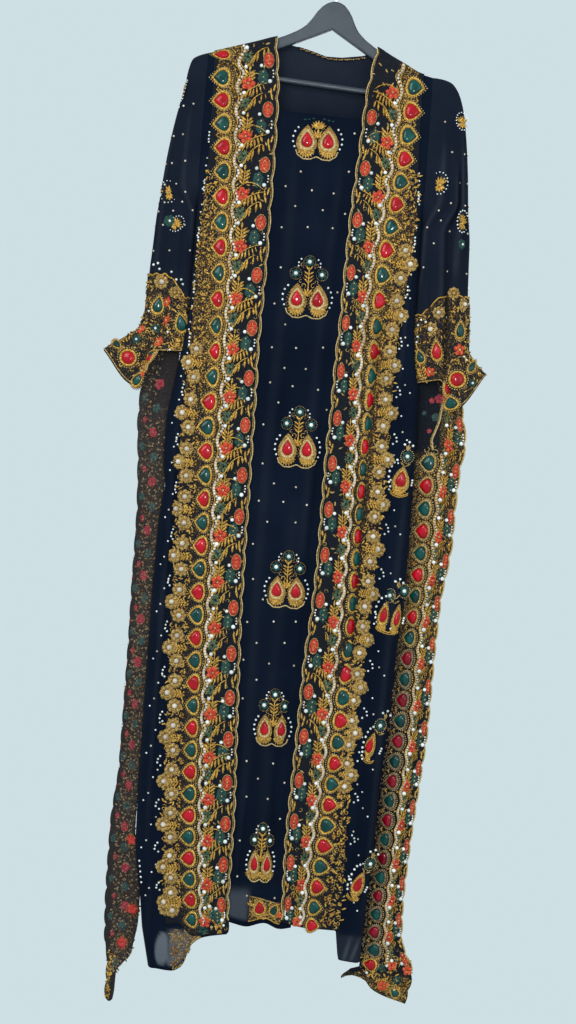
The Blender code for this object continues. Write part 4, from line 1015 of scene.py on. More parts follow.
# Three shades, stitches in a metre, how metallic and how rough
THREADS = {
    "gold": ("gold_thread", *GOLD, 700.0, 0.45, 0.42),
    "antique": (
        "antique_gold_thread", (0.08, 0.038, 0.01), (0.34, 0.205, 0.055), (0.72, 0.53, 0.22),
        700.0, 0.45, 0.45,
    ),
    "cream": ("cream_cord", (0.22, 0.13, 0.04), (0.52, 0.36, 0.14), (0.84, 0.68, 0.38), 850.0, 0.15, 0.5),
    "orange": (
        "orange_silk", (0.2, 0.008, 0.005), (0.5, 0.036, 0.012), (0.8, 0.2, 0.06), 650.0, 0.0, 0.45,
    ),
    "red": ("red_silk", (0.16, 0.004, 0.006), (0.42, 0.016, 0.014), (0.66, 0.08, 0.04), 650.0, 0.0, 0.4),
    "olive": (
        "olive_silk", (0.006, 0.016, 0.01), (0.02, 0.05, 0.03), (0.2, 0.24, 0.12), 650.0, 0.1, 0.45,
    ),
    "green": (
        "green_silk", (0.002, 0.012, 0.011), (0.005, 0.036, 0.031), (0.024, 0.11, 0.085), 650.0, 0.0, 0.45,
    ),
    "dull_red": (
        "reverse_red", (0.1, 0.006, 0.012), (0.24, 0.014, 0.03), (0.36, 0.06, 0.06), 500.0, 0.0, 0.6,
    ),
    "dull_green": (
        "reverse_green", (0.006, 0.016, 0.015), (0.018, 0.044, 0.04), (0.05, 0.09, 0.08), 500.0, 0.0, 0.6,
    ),
    "dull_gold": (
        "reverse_gold", (0.055, 0.034, 0.017), (0.16, 0.108, 0.056), (0.36, 0.26, 0.14), 500.0, 0.1, 0.6,
    ),
    "copper": (
        "copper_beads", (0.06, 0.018, 0.006), (0.22, 0.085, 0.03), (0.5, 0.26, 0.12), 500.0, 0.6, 0.3,
    ),
}
STONES = {
    "red_stone": ("red_resin", (0.24, 0.001, 0.005), (0.44, 0.002, 0.012)),
    "dark_red_stone": ("dark_red_resin", (0.12, 0.001, 0.006), (0.24, 0.003, 0.016)),
    "teal_stone": ("teal_resin", (0.001, 0.024, 0.022), (0.003, 0.06, 0.052)),
    "pearl": ("pearl_bead", (0.36, 0.3, 0.23), (0.64, 0.57, 0.48), 0.22),
    "white": ("white_bead", (0.52, 0.55, 0.53), (0.8, 0.83, 0.8), 0.18),
}
MATERIALS = {key: thread_material(*row) for key, row in THREADS.items()}
MATERIALS.update({key: stone_material(*row) for key, row in STONES.items()})
FINISHES = list(MATERIALS)
CLOTH_FINISH = cloth_material()
GROUND = ground_material("embroidered_ground", (0.006, 0.008, 0.013), *GOLD, 0.45)
REVERSE = ground_material(
    "reverse_of_embroidery", (0.026, 0.021, 0.021),
    (0.045, 0.03, 0.02), (0.13, 0.092, 0.058), (0.3, 0.23, 0.14), 0.05,
)


# Pieces

BAND_LIFT = 0.0016
BAND_WALL = 0.0012
CLOTH_WALL = 0.0008


def finished(obj, slot_name, *nodes):
    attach(obj, "root")
    if nodes:
        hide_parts(*nodes)


def cloth_piece(name, points, sheer, node):
    finished(shell(name, points, CLOTH_WALL, [CLOTH_FINISH], sheer=sheer), "cloth", node)


def ground_piece(name, points, wall, gold, node, *reverse):
    """An embroidered ground, with the reverse on its inner side where one is given."""
    made = shell(name, points, wall, [GROUND, *reverse], gold=gold)
    made.modifiers["wall"].material_offset = len(reverse)
    finished(made, "embroidery", node)


def front_cloth(side):
    station = np.concatenate([np.linspace(0, 3, 25)[:-1], np.linspace(3, 4, 13)[:-1], np.linspace(4, 5, 13)])
    hem = front_hem(side, station, FRONT_HEM[side])
    z = rows_down(front_top(side, station), hem, 175)
    share = (z - z[:1]) / (z[-1:] - z[:1])
    z = z[:1] + (z[-1:] - z[:1]) * (0.55 * share + 0.225 * (1 - np.cos(np.pi * share)))
    points = front_point(side, station[None], z)
    x = points[..., 0]
    # Painted highlight: the cloth is painted paler on its crease ridges; the hem corners add the paler sheer
    # tone.
    sheer = painted_ridge_highlight(creases(FRONT_CREASES[side], x, z, 0.14), 0.05)
    if side == "right":
        corner = ease(2.4 - 1.9 * (((x + 0.1775) / 0.0118) ** 2 + ((z + 1.702) / 0.028) ** 2))
        folded = ease((x + 0.172) / 0.01) * ease((-1.664 - z) / 0.012)
        sheer = sheer + np.maximum(1.0 * corner, 0.85 * folded) * ease((z - hem - 0.007) / 0.004)
        points, sheer = points[:, ::-1], sheer[:, ::-1]
    else:
        streaks = bell(x - 0.129 - 0.25 * (z + 1.7), 0.0028) + bell(x - 0.141 - 0.35 * (z + 1.7), 0.0022)
        sheer = sheer + ease((-1.652 - z) / 0.008) * (0.12 + 0.4 * streaks * bell(z + 1.682, 0.02))
    cloth_piece(f"cloth_front_{side}", points, sheer, f"front_{side}")


def painted_ridge_highlight(height, most):
    """Painted highlight on crease ridges: how much paler the cloth is painted on a ridge, nothing in the
    hollows, most on the highest ridge.
    """
    return most * np.clip(height / 0.0035, 0, 1) ** 1.5


def centre_cloth():
    station = np.concatenate([
        np.linspace(0, 1, 4)[:-1], np.linspace(1, 2, 10)[:-1], np.linspace(2, 3, 34)[:-1],
        np.linspace(3, 4, 10)[:-1], np.linspace(4, 5, 4),
    ])
    top = CENTRE_TOP.read("z", centre_line(station, -0.27 + 0 * station))
    hem = CENTRE_HEM.read("z", centre_line(station, -1.64 + 0 * station))
    z = top + (hem - top) * np.linspace(0, 1, 190)[:, None]
    x = centre_line(station[None], z)
    points = centre_point(x, z)
    corner = ease((-1.584 - z) / 0.02) * ease((-0.03 - x) / 0.014) * ease((z - hem - 0.008) / 0.003)
    # Painted highlight on the crease ridges, and a paler sheer corner at the hem.
    sheer = painted_ridge_highlight(creases(CENTRE_CREASES, x, z, 0.12), 0.03) + 0.45 * corner
    cloth_piece("cloth_centre_inset", points, sheer, "centre_inset")


def back_tops():
    """Places of the back's columns on the shoulders and the neckline, and each one's top edge."""
    right = np.linspace(-0.211 + TURN_RADIUS, -0.098, 5)[1:]
    left = np.linspace(0.078, 0.172 - TURN_RADIUS, 5)[:-1]
    neck = np.linspace(-0.072, 0.052, 5)
    wrap = NECK_WRAP_STEP * np.arange(1, len(NECK_WRAP_DROPS))
    x = np.concatenate([right, right[-1] + wrap, neck, left[0] - wrap[::-1], left])
    shoulder = SHOULDER.read("z", x)
    top = shoulder.copy()
    first, last = len(right) - 1, len(x) - len(left)
    drops = np.array(NECK_WRAP_DROPS)
    top[first:first + 4] -= drops
    top[last - 3:last + 1] -= drops[::-1]
    middle = slice(first + len(drops), last - len(drops) + 1)
    top[middle] = BACK_NECK.read("z", x[middle])
    return x, shoulder, top


def back_cloth():
    x, shoulder, top = back_tops()
    place = np.arange(1, len(x) + 1) / (len(x) + 1)
    fine = np.concatenate([np.linspace(a, b, 5)[:-1] for a, b in zip(place[:-1], place[1:])] + [place[-1:]])
    top_x, shoulder, top = (np.interp(fine, place, values) for values in (x, shoulder, top))
    rows = 120
    z = rows_down(top, BACK_HEM_Z + 0 * top, rows)
    start, end = seam_line("right", z) + TURN_RADIUS, seam_line("left", z) - TURN_RADIUS
    even_x = start + (end - start) * fine
    x = top_x + (even_x - top_x) * ease((shoulder - z) / 0.25)
    middle = np.stack([x, back_point(x, shoulder, z), z], axis=-1)
    sides = {}
    for side in SIGN:
        share = np.linspace(1, 0, 11)
        edge_x = {"right": -0.211, "left": 0.172}[side]
        side_top = SHOULDER.read("z", edge_x - SIGN[side] * TURN_RADIUS * (1 - share))
        side_z = rows_down(side_top, BACK_HEM_Z + 0 * side_top, rows)
        flat_x = seam_line(side, side_z) - SIGN[side] * TURN_RADIUS
        depth = back_point(flat_x, side_top, side_z)
        turn_x, turn_y = side_turn(side, share[None], side_z, depth, TURN_RADIUS)
        sides[side] = np.stack([turn_x, turn_y, side_z], axis=-1)
    points = np.concatenate([sides["right"], middle, sides["left"][:, ::-1]], axis=1)[:, ::-1]
    folds = creases(BACK_CREASES, points[..., 0], points[..., 2], 0.16)
    # A paler sheer tone near the neck, and painted highlight on the crease ridges.
    sheer = 0.09 * ease((points[..., 2] + 0.34) / 0.12) + painted_ridge_highlight(folds, 0.04)
    cloth_piece("cloth_back", points, sheer, "back_panel")


def sleeve_cloth(side):
    row = np.concatenate([np.linspace(0, 4, 21)[:-1], np.linspace(4, MOUTH_ROW, 78)])
    u = np.linspace(0, 1, 91)
    points = sleeve_point(side, u[None], row[:, None])
    # A paler tone for the single sheer layer, and painted highlight on the crease ridges.
    sheer = 0.045 + painted_ridge_highlight(creases(SLEEVE_CREASES[side], u[None], row[:, None], 1.2), 0.1)
    if side == "right":
        points, sheer = points[:, ::-1], sheer[:, ::-1]
    cloth_piece(f"cloth_sleeve_{side}", points, sheer, f"sleeve_{side}")


class Strip:
    """An embroidered strip: stations 0 to 3 from its scalloped edge, and jewels counted along it."""

    def __init__(self, skin, heights, top, first, last, flowers):
        self.skin, self.heights, self.flowers = skin, heights, flowers
        self.top, self.first, self.last = top, first, last
        self.jewels = np.arange(math.ceil(first), math.floor(last) + 1)

    def pitch(self, count):
        return self.heights.read("z", count - 0.5) - self.heights.read("z", count + 0.5)


def band_height(side, station, count):
    """Height of a count on a band's column, eased to the shoulder's slope and to the hem."""
    station, count = together(station, count)
    inside = np.clip(station, 0, 3)
    level = JEWELS[side].read("z", count) + 0.038 * np.maximum(-count, 0)
    top_ref = front_top(side, np.array(2.0))
    hem_ref = front_hem(side, np.array(2.0), BAND_HEM[side])
    top, hem = front_top(side, inside), front_hem(side, inside, BAND_HEM[side])
    z = level + (top - top_ref) * ease(1 - (top_ref - level) / 0.2)
    z = z + (hem - hem_ref) * ease(1 - (level - hem_ref) / 0.12)
    return np.clip(z, hem + 0.001, top - 0.0025)


def repeat_at(side, z):
    """Which edge flower a height is at, as a running number."""
    heights = EDGE_FLOWERS[side]
    steps = np.arange(len(heights))
    inner = np.interp(z, heights[::-1], steps[::-1])
    before = (heights[0] - z) / (heights[0] - heights[1])
    after = steps[-1] + (heights[-1] - z) / (heights[-2] - heights[-1])
    return np.where(z > heights[0], before, np.where(z < heights[-1], after, inner))


def scallops(phase):
    """Rounded scallops that meet in notches: the size of a cosine, two to a repeat."""
    return 0.0036 * np.abs(np.cos(2 * np.pi * phase)) ** 0.8


def band(side):
    station = np.concatenate([[0.0], np.linspace(0.04, 2.96, 20), [3.0]])
    z = rows_down(front_top(side, station), front_hem(side, station, BAND_HEM[side]), 260)
    beyond = np.zeros_like(z)
    beyond[:, 0] = -scallops(repeat_at(side, z[:, 0]))
    beyond[:, 1] = -0.5 * scallops(repeat_at(side, z[:, 1]))
    points = front_point(side, station[None], z, beyond)
    low = ease((GOLD_STARTS[side] - z) / 0.1)
    zones = np.interp(station, [0, 0.9, 1.05, 2.3, 2.5, 3.0], [-0.3, -0.3, 0.2, 0.2, 0.0, 0.0])
    outside = np.clip((station - 2.25) / 0.2, 0, 1)
    gold = zones[None] - 0.36 * outside[None] * (1 - low) - 0.32 * ease((-0.55 - z) / 0.5)
    if side == "right":
        points, gold = points[:, ::-1], gold[:, ::-1]
    points = points + outwards(points) * BAND_LIFT
    ground_piece(f"band_ground_{side}", points, BAND_WALL, gold, f"band_{side}")


def drop_rim(radius, count):
    """Beads round a drop one unit high."""
    return bead_ring(drop_outline(40), (1.0, 1.0), radius, 1.0, count)


# Shapes of the strips' embroidery, in millimetres; +x points across to the strip's outer edge
TIP_OUT = -math.pi / 2
STONE_RING = collar(drop_outline(22), 0.99, 1.42)
WHEAT = joined(
    *(moved_shape(LEAF, (side * 0.6, y), (1.9, 13 * size, 1.6), -side * 0.78)
      for y, size in ((1, 0.75), (7, 0.95), (13, 1.0), (19, 0.9)) for side in (-1, 1)),
    moved_shape(LEAF, (0, 25), (1.9, 10.5, 1.4)),
    strand(bow((0, 0), (0, 27), 0.02), 0.9, 1.2),
)
BRANCH_LINE = bow((0, 2), (-46, 30), -0.1, 11)
BRANCH = joined(
    strand(BRANCH_LINE, 1, 1.4),
    strand(bow((4, 26), (-44, 34), -0.3, 11), 0.9, 1.3),
    *(moved_shape(LEAF, BRANCH_LINE[k], (1.9, 15 * size, 1.5), math.pi + turn)
      for k, size, turn in (
          (1, 0.7, 0.85), (2, 0.85, 0.6), (3, 0.95, 0.45), (4, 1.0, 0.2), (5, 1.1, 0.05), (6, 1.1, -0.1),
          (7, 1.0, -0.25), (8, 0.8, -0.35))),
    *(moved_shape(LEAF, BRANCH_LINE[k], (1.5, 7.5, 1.3), turn)
      for k, turn in ((3, 0.1), (6, 0.5), (8, 0.7))),
)
FERN_LINE = bow((-40, 13), (-13, -15), 0.14, 8)
FERN = joined(
    strand(FERN_LINE, 1, 1.3),
    *(moved_shape(LEAF, FERN_LINE[k], (2, length, 1.5), math.pi + turn)
      for k, length, turn in (
          (0, 13, -0.15), (1, 16.5, 0.05), (3, 19, 0.15), (4, 19, 0.3), (5, 17, 0.45), (7, 13, 0.7))),
)
ORANGE_FLOWER = flower_shape(5, 13, 5.4, 6.2, 2.6)
ORANGE_INNER = flower_shape(5, 9.2, 3, 4, 3.6, 0.63)
ORANGE_OVAL = flower_shape(6, 10, 4, 4.6, 2.2, 0.3)
EDGE_RING = moved_shape(collar(round_outline(16), 0.88, 1.0), size=(9.4, 14.2, 1.8))
EDGE_BED = moved_shape(dome(round_outline(14), ((1.0, 0.0), (0.7, 0.9))), size=(8.6, 13, 1.4))
GREEN_FLOWER = flower_shape(6, 10.8, 5.4, 6, 2, 0.2)
SMALL_GREEN = flower_shape(5, 10.5, 4, 4.8, 2.2, 0.5)
OLIVE_BEADS = bead_ring(round_outline(24), (9.8, 11.8), 1, 1.8, 14)
ROSETTE_PETALS = flower_shape(8, 13.6, 4.8, 4.8, 3.2)
ROSETTE_RING = bead_ring(round_outline(24), (8, 8), 1.3, 1.8, 14)
CURL_TURN = np.linspace(0, 5.2, 9)
CURL_PATH = np.linspace(4.2, 1.2, 9) * np.stack([np.cos(CURL_TURN), np.sin(CURL_TURN)])
CURL = strand(CURL_PATH.T, 0.55, 1)
OVAL_RING = collar(round_outline(18), 0.97, 1.38)
STONE_DOTS = drop_rim(0.075, 24)
OVAL_DOTS = bead_ring(round_outline(40), (1.0, 1.0), 0.075, 1.0, 26)
CROWN = joined(
    *(moved_shape(LEAF, (0, -4), (2.1, 16.5, 2), turn) for turn in (-1.0, -0.6, -0.2, 0.2, 0.6, 1.0)),
    *(moved_shape(LEAF, (0, -3), (2.3, 13, 2), turn) for turn in (2.2, 2.65, 3.14, 3.63, 4.1)),
    moved_shape(PEARL, (0, -3), (4.2, 4.2, 4)),
)
CROWN_BEADS = bead_ring(round_outline(40), (15, 19), 1.4, 2.2, 17)
PETAL_PATCH = flower_shape(5, 9.2, 4.6, 5.2, 1.2)
HERRINGBONE = joined(
    strand(bow((0, 0), (22, 0), 0.02, 6), 0.7, 1.1),
    *(moved_shape(LEAF, (x, 0), (1.4, 7.8, 1.1), turn)
      for x in (2, 6.5, 11, 15.5, 20) for turn in (-0.65, -math.pi + 0.65)),
)


BRIGHT = ("gold", "antique", "copper")
DULL = ("dull_gold", "dull_gold", "copper")


def jewels(work, strip, count, ring="gold", red_finish="red_stone"):
    """Drop stones with their tips outwards, each in a bright bed, a dark gap and a dotted rim."""
    pitch = MM * strip.pitch(count)
    pearl, jewel = strip.skin.point(1.0 + 0 * count, count), strip.skin.point(2.0 + 0 * count, count)
    room = np.clip(MM * np.linalg.norm(pearl - jewel, axis=1) - 2.2, 8, 21.5)
    half_long, half_wide = np.minimum(12.6, 0.56 * room), np.minimum(13, 0.315 * pitch)
    red = count % 2 == 0
    for mask, finish in ((red, red_finish), (~red, "teal_stone")):
        work.put(STONE, 2.0, count[mask], finish, (half_wide[mask], half_long[mask], 4.4), TIP_OUT)
    work.put(STONE_RING, 2.0, count, ring, (half_wide, half_long, 3.2), TIP_OUT)
    dots = drop_rim(0.066, 26)
    work.put(dots, 2.0, count, "cream", (0.455 * pitch, np.minimum(room, 1.66 * half_long), 2.1), TIP_OUT)
    gaps = count[:-1] + 0.5
    for across, along, size in ((1.38, 0.0, 2.1), (2.36, -0.07, 1.7), (2.36, 0.07, 1.7), (2.46, 0.0, 1.9)):
        work.put(BEAD, across, gaps + along, "gold", (size, 2.4))


def pearl_line(work, strip, radius, top):
    """Cream beads in a wave that bulges round each ring, with a fine cord on each side."""
    count = np.arange(top, strip.last, 1 / 8.5)
    work.put(PEARL, 1.0 - 0.1 * np.cos(2 * np.pi * count), count, "pearl", (radius, 2.8))
    fine = np.arange(top, strip.last, 1 / 12)
    wave = 0.1 * np.cos(2 * np.pi * fine)
    work.cord(1.085 - wave, fine, "gold", 1, 1.4)
    work.cord(0.915 - wave, fine, "gold", 0.8, 1.2)


def flower_columns(work, strip):
    """Two columns of flowers, pearls, sprigs and curved stems between the pearls and the edge."""
    edge, pearls = (strip.skin.point(station, strip.flowers) for station in (0.0, 1.0))
    full = np.clip(np.linalg.norm(pearls - edge, axis=-1) / 0.058, 0.55, 1.0)

    def put(shape, across, along, finish, size=(1.0, 1.0, 1.0), turn=0.0):
        """The shape beside every flower that leaves it on the strip."""
        at = strip.flowers + along
        keep = (at > strip.top) & (at < strip.last)
        if keep.any():
            size = tuple(np.broadcast_to(part, at.shape)[keep] for part in size)
            work.put(shape, across, at[keep], finish, size, np.broadcast_to(turn, at.shape)[keep])
    drawn_in, turn = (full, 1.0, 1.0), 0.3 * np.sin(5 * strip.flowers)
    put(ORANGE_FLOWER, 0.76, 0.0, "orange", drawn_in, turn)
    put(ORANGE_INNER, 0.76, 0.0, "red", drawn_in, turn)
    put(BEAD, 0.76, 0.0, "cream", (2.2, 4.2))
    for across, along in ((0.92, -0.22), (0.93, 0.2), (0.6, -0.2), (0.58, 0.16)):
        put(BEAD, across, along, "antique", (2, 2.4))
    put(PEARL, 0.85, 0.36, "white", (3.7, 4.2))
    put(SMALL_GREEN, 0.8, 0.78, "olive", (full, 1.15, 1.0))
    put(OLIVE_BEADS, 0.8, 0.78, "gold", drawn_in)
    put(PEARL, 0.84, 1.16, "white", (3.3, 4.2))
    put(WHEAT, 0.76, 1.93, "gold", (1.1 * full, 1.0, 1.4), 0.06)
    high = np.where(strip.flowers > strip.top + 0.6, full, 0.0)
    tall = np.interp(strip.flowers, [1.0, 7.0], [3.2, 1.4])
    put(BRANCH, 0.92, 0.58, "gold", (high ** 1.6, high, tall))
    put(FERN, 0.92, 0.58, "gold", (full ** 1.6, full, tall))
    put(EDGE_RING, 0.21, 1.07, "antique", drawn_in)
    put(EDGE_BED, 0.21, 1.07, "red", drawn_in)
    put(ORANGE_OVAL, 0.21, 1.07, "orange", (0.6 * full, 1.02, 1.2))
    for along in (0.91, 1.07, 1.23):
        put(BEAD, 0.21, along, "cream", (1.5, 1.7, 4.2))
    put(PEARL, 0.42, 1.23, "white", (3.2, 4))
    put(GREEN_FLOWER, 0.37, 1.69, "green", (0.92 * full, 1.36, 1.2))
    for across, along in ((0.37, 1.49), (0.36, 1.7), (0.37, 1.89)):
        put(BEAD, across, along, "cream", (1.7, 4.2))
    put(PEARL, 0.19, 1.89, "white", (3.7, 4.4))
    for across, along in ((0.1, 1.51), (0.09, 1.63), (0.1, 1.75)):
        put(PEARL, across, along, "white", (1.5, 2.4))
    for across, along, lean in ((0.09, 2.3, 0.22), (0.15, 2.44, -0.05), (0.1, 2.62, -0.25)):
        put(LEAF, across, along, "gold", (1.7, 15 * full, 1.6), lean)


def edge_cord(work, strip, scallop_size):
    """The cord round the scalloped edge, with a second finer one inside it."""
    count = np.arange(strip.top, strip.last, 1 / 14)
    bulge = scallop_size(count) / 0.02
    work.cord(-bulge, count, "cream", 1, 1.7)
    work.cord(0.05 - 0.5 * bulge, count, "antique", 0.7, 1.2)


def rosette(work, across, along, with_pearl=True, size=1.0):
    """Petals round a ring of beads, with a pearl or a metal bead in the middle."""
    work.put(ROSETTE_PETALS, across, along, "antique", size)
    work.put(ROSETTE_RING, across, along, "gold", size, 0.0, 2.2)
    work.put(PEARL, across, along, "pearl" if with_pearl else "antique", (5 * size, 6.2))


def gold_field(work, strip, low, high, spacing, first=None, columns=4, finishes=BRIGHT, size=1.0):
    """Short leaves and curls of gold close together, at every angle, over part of a strip."""
    along = np.arange(strip.first if first is None else first, strip.last, spacing)
    a, b = np.meshgrid(np.linspace(low, high, columns), along)
    a = (a + rng.uniform(-0.05, 0.05, a.shape)).ravel()
    b = (b + rng.uniform(-0.3, 0.3, b.shape) * spacing).ravel()
    scatter(work, a, b, finishes, size)


def scatter(work, a, b, finishes=BRIGHT, size=1.0):
    """A leaf, a curl or a bead at each place, turned by chance."""
    turn = rng.uniform(0, 2 * np.pi, a.shape)
    kind = rng.uniform(size=a.shape)
    bright, dim, bead = finishes
    for shape, finish, sizes, low, high in (
        (LEAF, bright, (1.5, 8.8 * size, 1.6), 0.0, 0.5), (LEAF, dim, (1.3, 7 * size, 1.5), 0.5, 0.65),
        (CURL, bright, size, 0.65, 0.86), (BEAD, bead, (1.9, 2.2), 0.86, 1.0),
    ):
        pick = (kind >= low) & (kind < high)
        work.put(shape, a[pick], b[pick], finish, sizes, turn[pick])


def band_strip(side):
    def point(station, count):
        return front_point(side, station, band_height(side, station, count))
    top, first, last = {"right": (-0.15, 0.0, 37.15), "left": (0.45, 0.75, 38.05)}[side]
    fine = np.linspace(-1, 38, 1600)
    heights = band_height(side, 0.2, fine)
    edge = np.interp(EDGE_FLOWERS[side][::-1], heights[::-1], fine[::-1])[::-1]
    flowers = edge - 1.07
    skin = Skin(point, (0.02, 0.04), -1.0)
    flowers = flowers[(flowers > first - 0.6) & (flowers < last - 1.15)]
    return Strip(skin, JEWELS[side], top, first, last, flowers)


def band_embroidery(side):
    strip = band_strip(side)
    work = Needlework(strip.skin, 2)
    jewels(work, strip, strip.jewels)
    pearl_line(work, strip, 2.6, strip.top)
    flower_columns(work, strip)
    edge_cord(work, strip, lambda count: scallops(repeat_at(side, band_height(side, 0.0, count))))
    start_z, end_z = ROSETTES[side]
    count = np.arange(0.5, strip.last - 0.3, 2.0)
    z = band_height(side, 3.0, count)
    main = count[(z < start_z) & (z > end_z)]
    rosette(work, 3.02, main)
    work.put(HERRINGBONE, 2.4, main, "gold", (1.0, 1.2, 1.2), 0.0, 1)
    for shift, across in ((-0.55, 2.72), (0.57, 2.7)):
        rosette(work, across, main + shift, True, 0.95)
    spray = np.arange(1.5, strip.last - 1, 2.0)
    spray = spray[band_height(side, 3.0, spray) < -0.32]
    for across, along in ((3.25, -0.12), (3.35, 0.02), (3.38, 0.18), (3.22, 0.3)):
        work.put(PEARL, across, spray + along, "white", (1.8, 2.2), 0.0, -1.6)
    fine = np.linspace(-1, 38, 1600)
    gold_first = np.interp(-GOLD_STARTS[side], -band_height(side, 2.8, fine), fine)
    gold_field(work, strip, 2.42, 2.96, 0.15, gold_first)
    gold_field(work, strip, 0.14, 0.9, 0.62, None, 4, ("antique", "antique", "copper"))
    extras = {
        "right": (
            (ORANGE_FLOWER, 0.86, 37.1, "orange", 0.85), (GREEN_FLOWER, 0.52, 36.75, "green", 1.0),
            (PEARL, 0.66, 36.3, "white", 3.4), (CURL, 0.16, 37.0, "gold", 1.4),
            (CURL, 0.3, 37.3, "cream", 1.5), (ORANGE_INNER, 0.86, 37.1, "red", 0.85),
            (SMALL_GREEN, 0.92, 37.5, "green", 0.9), (WHEAT, 0.4, 37.5, "gold", 0.6),
            (PEARL, 0.14, 37.4, "white", 2.4), (BEAD, 0.6, 37.4, "cream", 2.8),
            (ROSETTE_PETALS, 2.98, 36.9, "antique", 0.95), (WHEAT, 2.5, 37.0, "gold", 0.8),
        ),
        "left": (
            (ORANGE_FLOWER, 0.74, 37.9, "orange", 0.8), (PEARL, 0.88, 37.6, "white", 3.2),
            (CURL, 2.45, 37.8, "copper", 1.2), (CURL, 2.7, 37.3, "copper", 1.3),
            (CURL, 2.55, 36.6, "copper", 1.2),
        ),
    }
    for shape, across, along, finish, size in extras[side]:
        work.put(shape, across, along, finish, size)
    if side == "right":
        scatter(work, rng.uniform(0.04, 0.8, 34), rng.uniform(37.0, 37.65, 34), BRIGHT, 0.8)
    work.sew(f"band_embroidery_{side}")


def ringed_stone(work, a, b, finish, half_wide, half_high, turn, round_stone=False):
    """A stone in a bright metal-thread ring with a row of beads round it."""
    shape, ring, rim = (OVAL, OVAL_RING, OVAL_DOTS) if round_stone else (STONE, STONE_RING, STONE_DOTS)
    work.put(shape, a, b, finish, (half_wide, half_high, 4.4), turn)
    work.put(ring, a, b, "gold", (half_wide, half_high, 3.4), turn)
    work.put(rim, a, b, "cream", (half_wide * 1.6, half_high * 1.55, 2.4), turn)


def cuff_top(u):
    """Row of the cuff's upper edge round the sleeve, lower towards the body, in small scallops."""
    return cuff_drop(u) + 0.06 * np.sin(16 * np.pi * u) ** 2


def cuff_drop(u):
    return 12.0 + 0.9 * (1 - ease((np.sin(np.pi * u) - 0.4) / 0.45))


def cuff(side):
    """The band round the sleeve's lower end, its upper edge lower towards the body."""
    u = np.linspace(0, 1, 101)
    across = np.sin(np.pi * u)
    top = cuff_top(u)
    row = top + (MOUTH_ROW - 0.03 - top) * np.linspace(0, 1, 36)[:, None]
    points = sleeve_point(side, u[None], row)
    lift = 0.0019 * ease(np.minimum(u, 1 - u) / 0.03)[None] + 0.0004
    if side == "right":
        points, lift = points[:, ::-1], lift[:, ::-1]
    points = points + outwards(points) * lift[..., None]
    gold = -0.1 - 0.2 * ease((row - 14.6) / 0.8) * ease((0.3 - across) / 0.12)
    if side == "right":
        gold = gold[:, ::-1]
    ground_piece(f"cuff_ground_{side}", points, 0.0011, gold, f"cuff_{side}")


def on_sleeve(side, places):
    """Places (round, row) on a sleeve's front half, nearest to these (x, z) seen from the front."""
    x, z = millimetres(*places).T
    u, row = np.meshgrid(np.linspace(0.03, 0.49, 80), np.linspace(4, 15.9, 220))
    seen = sleeve_point(side, u, row)
    far = (seen[..., :1] - x) ** 2 + (seen[..., 2:] - z) ** 2
    best = far.reshape(-1, len(x)).argmin(axis=0)
    return u.ravel()[best], row.ravel()[best]


# Work on the cuffs and sleeves as seen from the front: kind, x and z, half width and half height
# (millimetres for a stone, shares for the rest), turn
CUFF_WORK = {
    "right": (
        ("rosette", -262.6, -575.1, 1, 1, 0), ("rosette", -237, -590.3, 0.8, 0.8, 0),
        ("teal_stone", -265.4, -615.2, 8, 12.8, 0.1), ("teal_stone", -224.3, -641.6, 8.6, 13.4, -0.4),
        ("orange", -248.5, -609, 0.5, 0.8, 0.3), ("orange", -247, -639, 0.4, 0.8, 0.3),
        ("green", -266.6, -654.5, 1, 0.9, 0), ("orange", -257.5, -676.6, 0.6, 0.8, 0),
        ("wheat", -239, -699, 0.9, 0.9, 0.2), ("teal_stone", -259.8, -702.9, 6, 8.5, 0.5),
        ("round", -242.2, -720.4, 8.5, 8.5, 0), ("rosette", -245, -742, 0.8, 0.8, 0),
        ("teal_stone", -330, -688, 5.2, 9, 1.4), ("round", -308, -708, 11.5, 11, 0),
        ("orange", -280.7, -728.1, 0.7, 1, 0), ("teal_stone", -286, -745, 6.5, 11.5, 0.2),
        ("orange", -289.2, -657.8, 0.5, 0.7, 0), ("green", -297.6, -676.3, 0.9, 0.9, 0),
        ("wheat", -279, -708, 0.8, 0.8, 2.9), ("crown", -250, -245, 1, 1, 0),
        ("crown", -262, -420, 1, 1, 0), ("flower", -256, -470, 1, 1, 0),
        ("crown", -244, -475, 0.8, 0.8, 0.9),
    ),
    "left": (
        ("rosette", 234.9, -557.1, 0.8, 0.8, 0), ("rosette", 252.6, -576.2, 0.9, 0.9, 0),
        ("teal_stone", 250, -619.5, 7, 11.8, 0), ("red_stone", 228.5, -627.9, 5.5, 10, 0),
        ("rosette", 212.3, -593.1, 0.85, 0.85, 0), ("rosette", 199.7, -621.7, 1, 1, 0),
        ("red_stone", 212.2, -658.3, 7.4, 14, 0), ("teal_stone", 186, -670.2, 6, 10, 0.2),
        ("orange", 250, -652, 0.8, 0.9, 0), ("teal_stone", 274.9, -679.8, 5, 10.5, -1.1),
        ("round", 251.8, -704, 11.5, 11.2, 0), ("teal_stone", 244.8, -742, 10, 9.5, 0),
        ("wheat", 198, -720, 0.9, 0.9, 0), ("green", 230, -677.2, 0.9, 0.9, 0),
        ("red_stone", 219, -729.6, 7, 9.5, 0), ("orange", 203, -695, 0.7, 0.7, 0),
        ("green", 276, -708, 0.8, 0.8, 0), ("crown", 196, -375, 1, 1, 0),
        ("crown", 228, -265, 0.8, 0.8, 0), ("crown", 240, -435, 1, 1, 0),
        ("flower", 242, -474, 0.9, 0.9, 0),
    ),
}
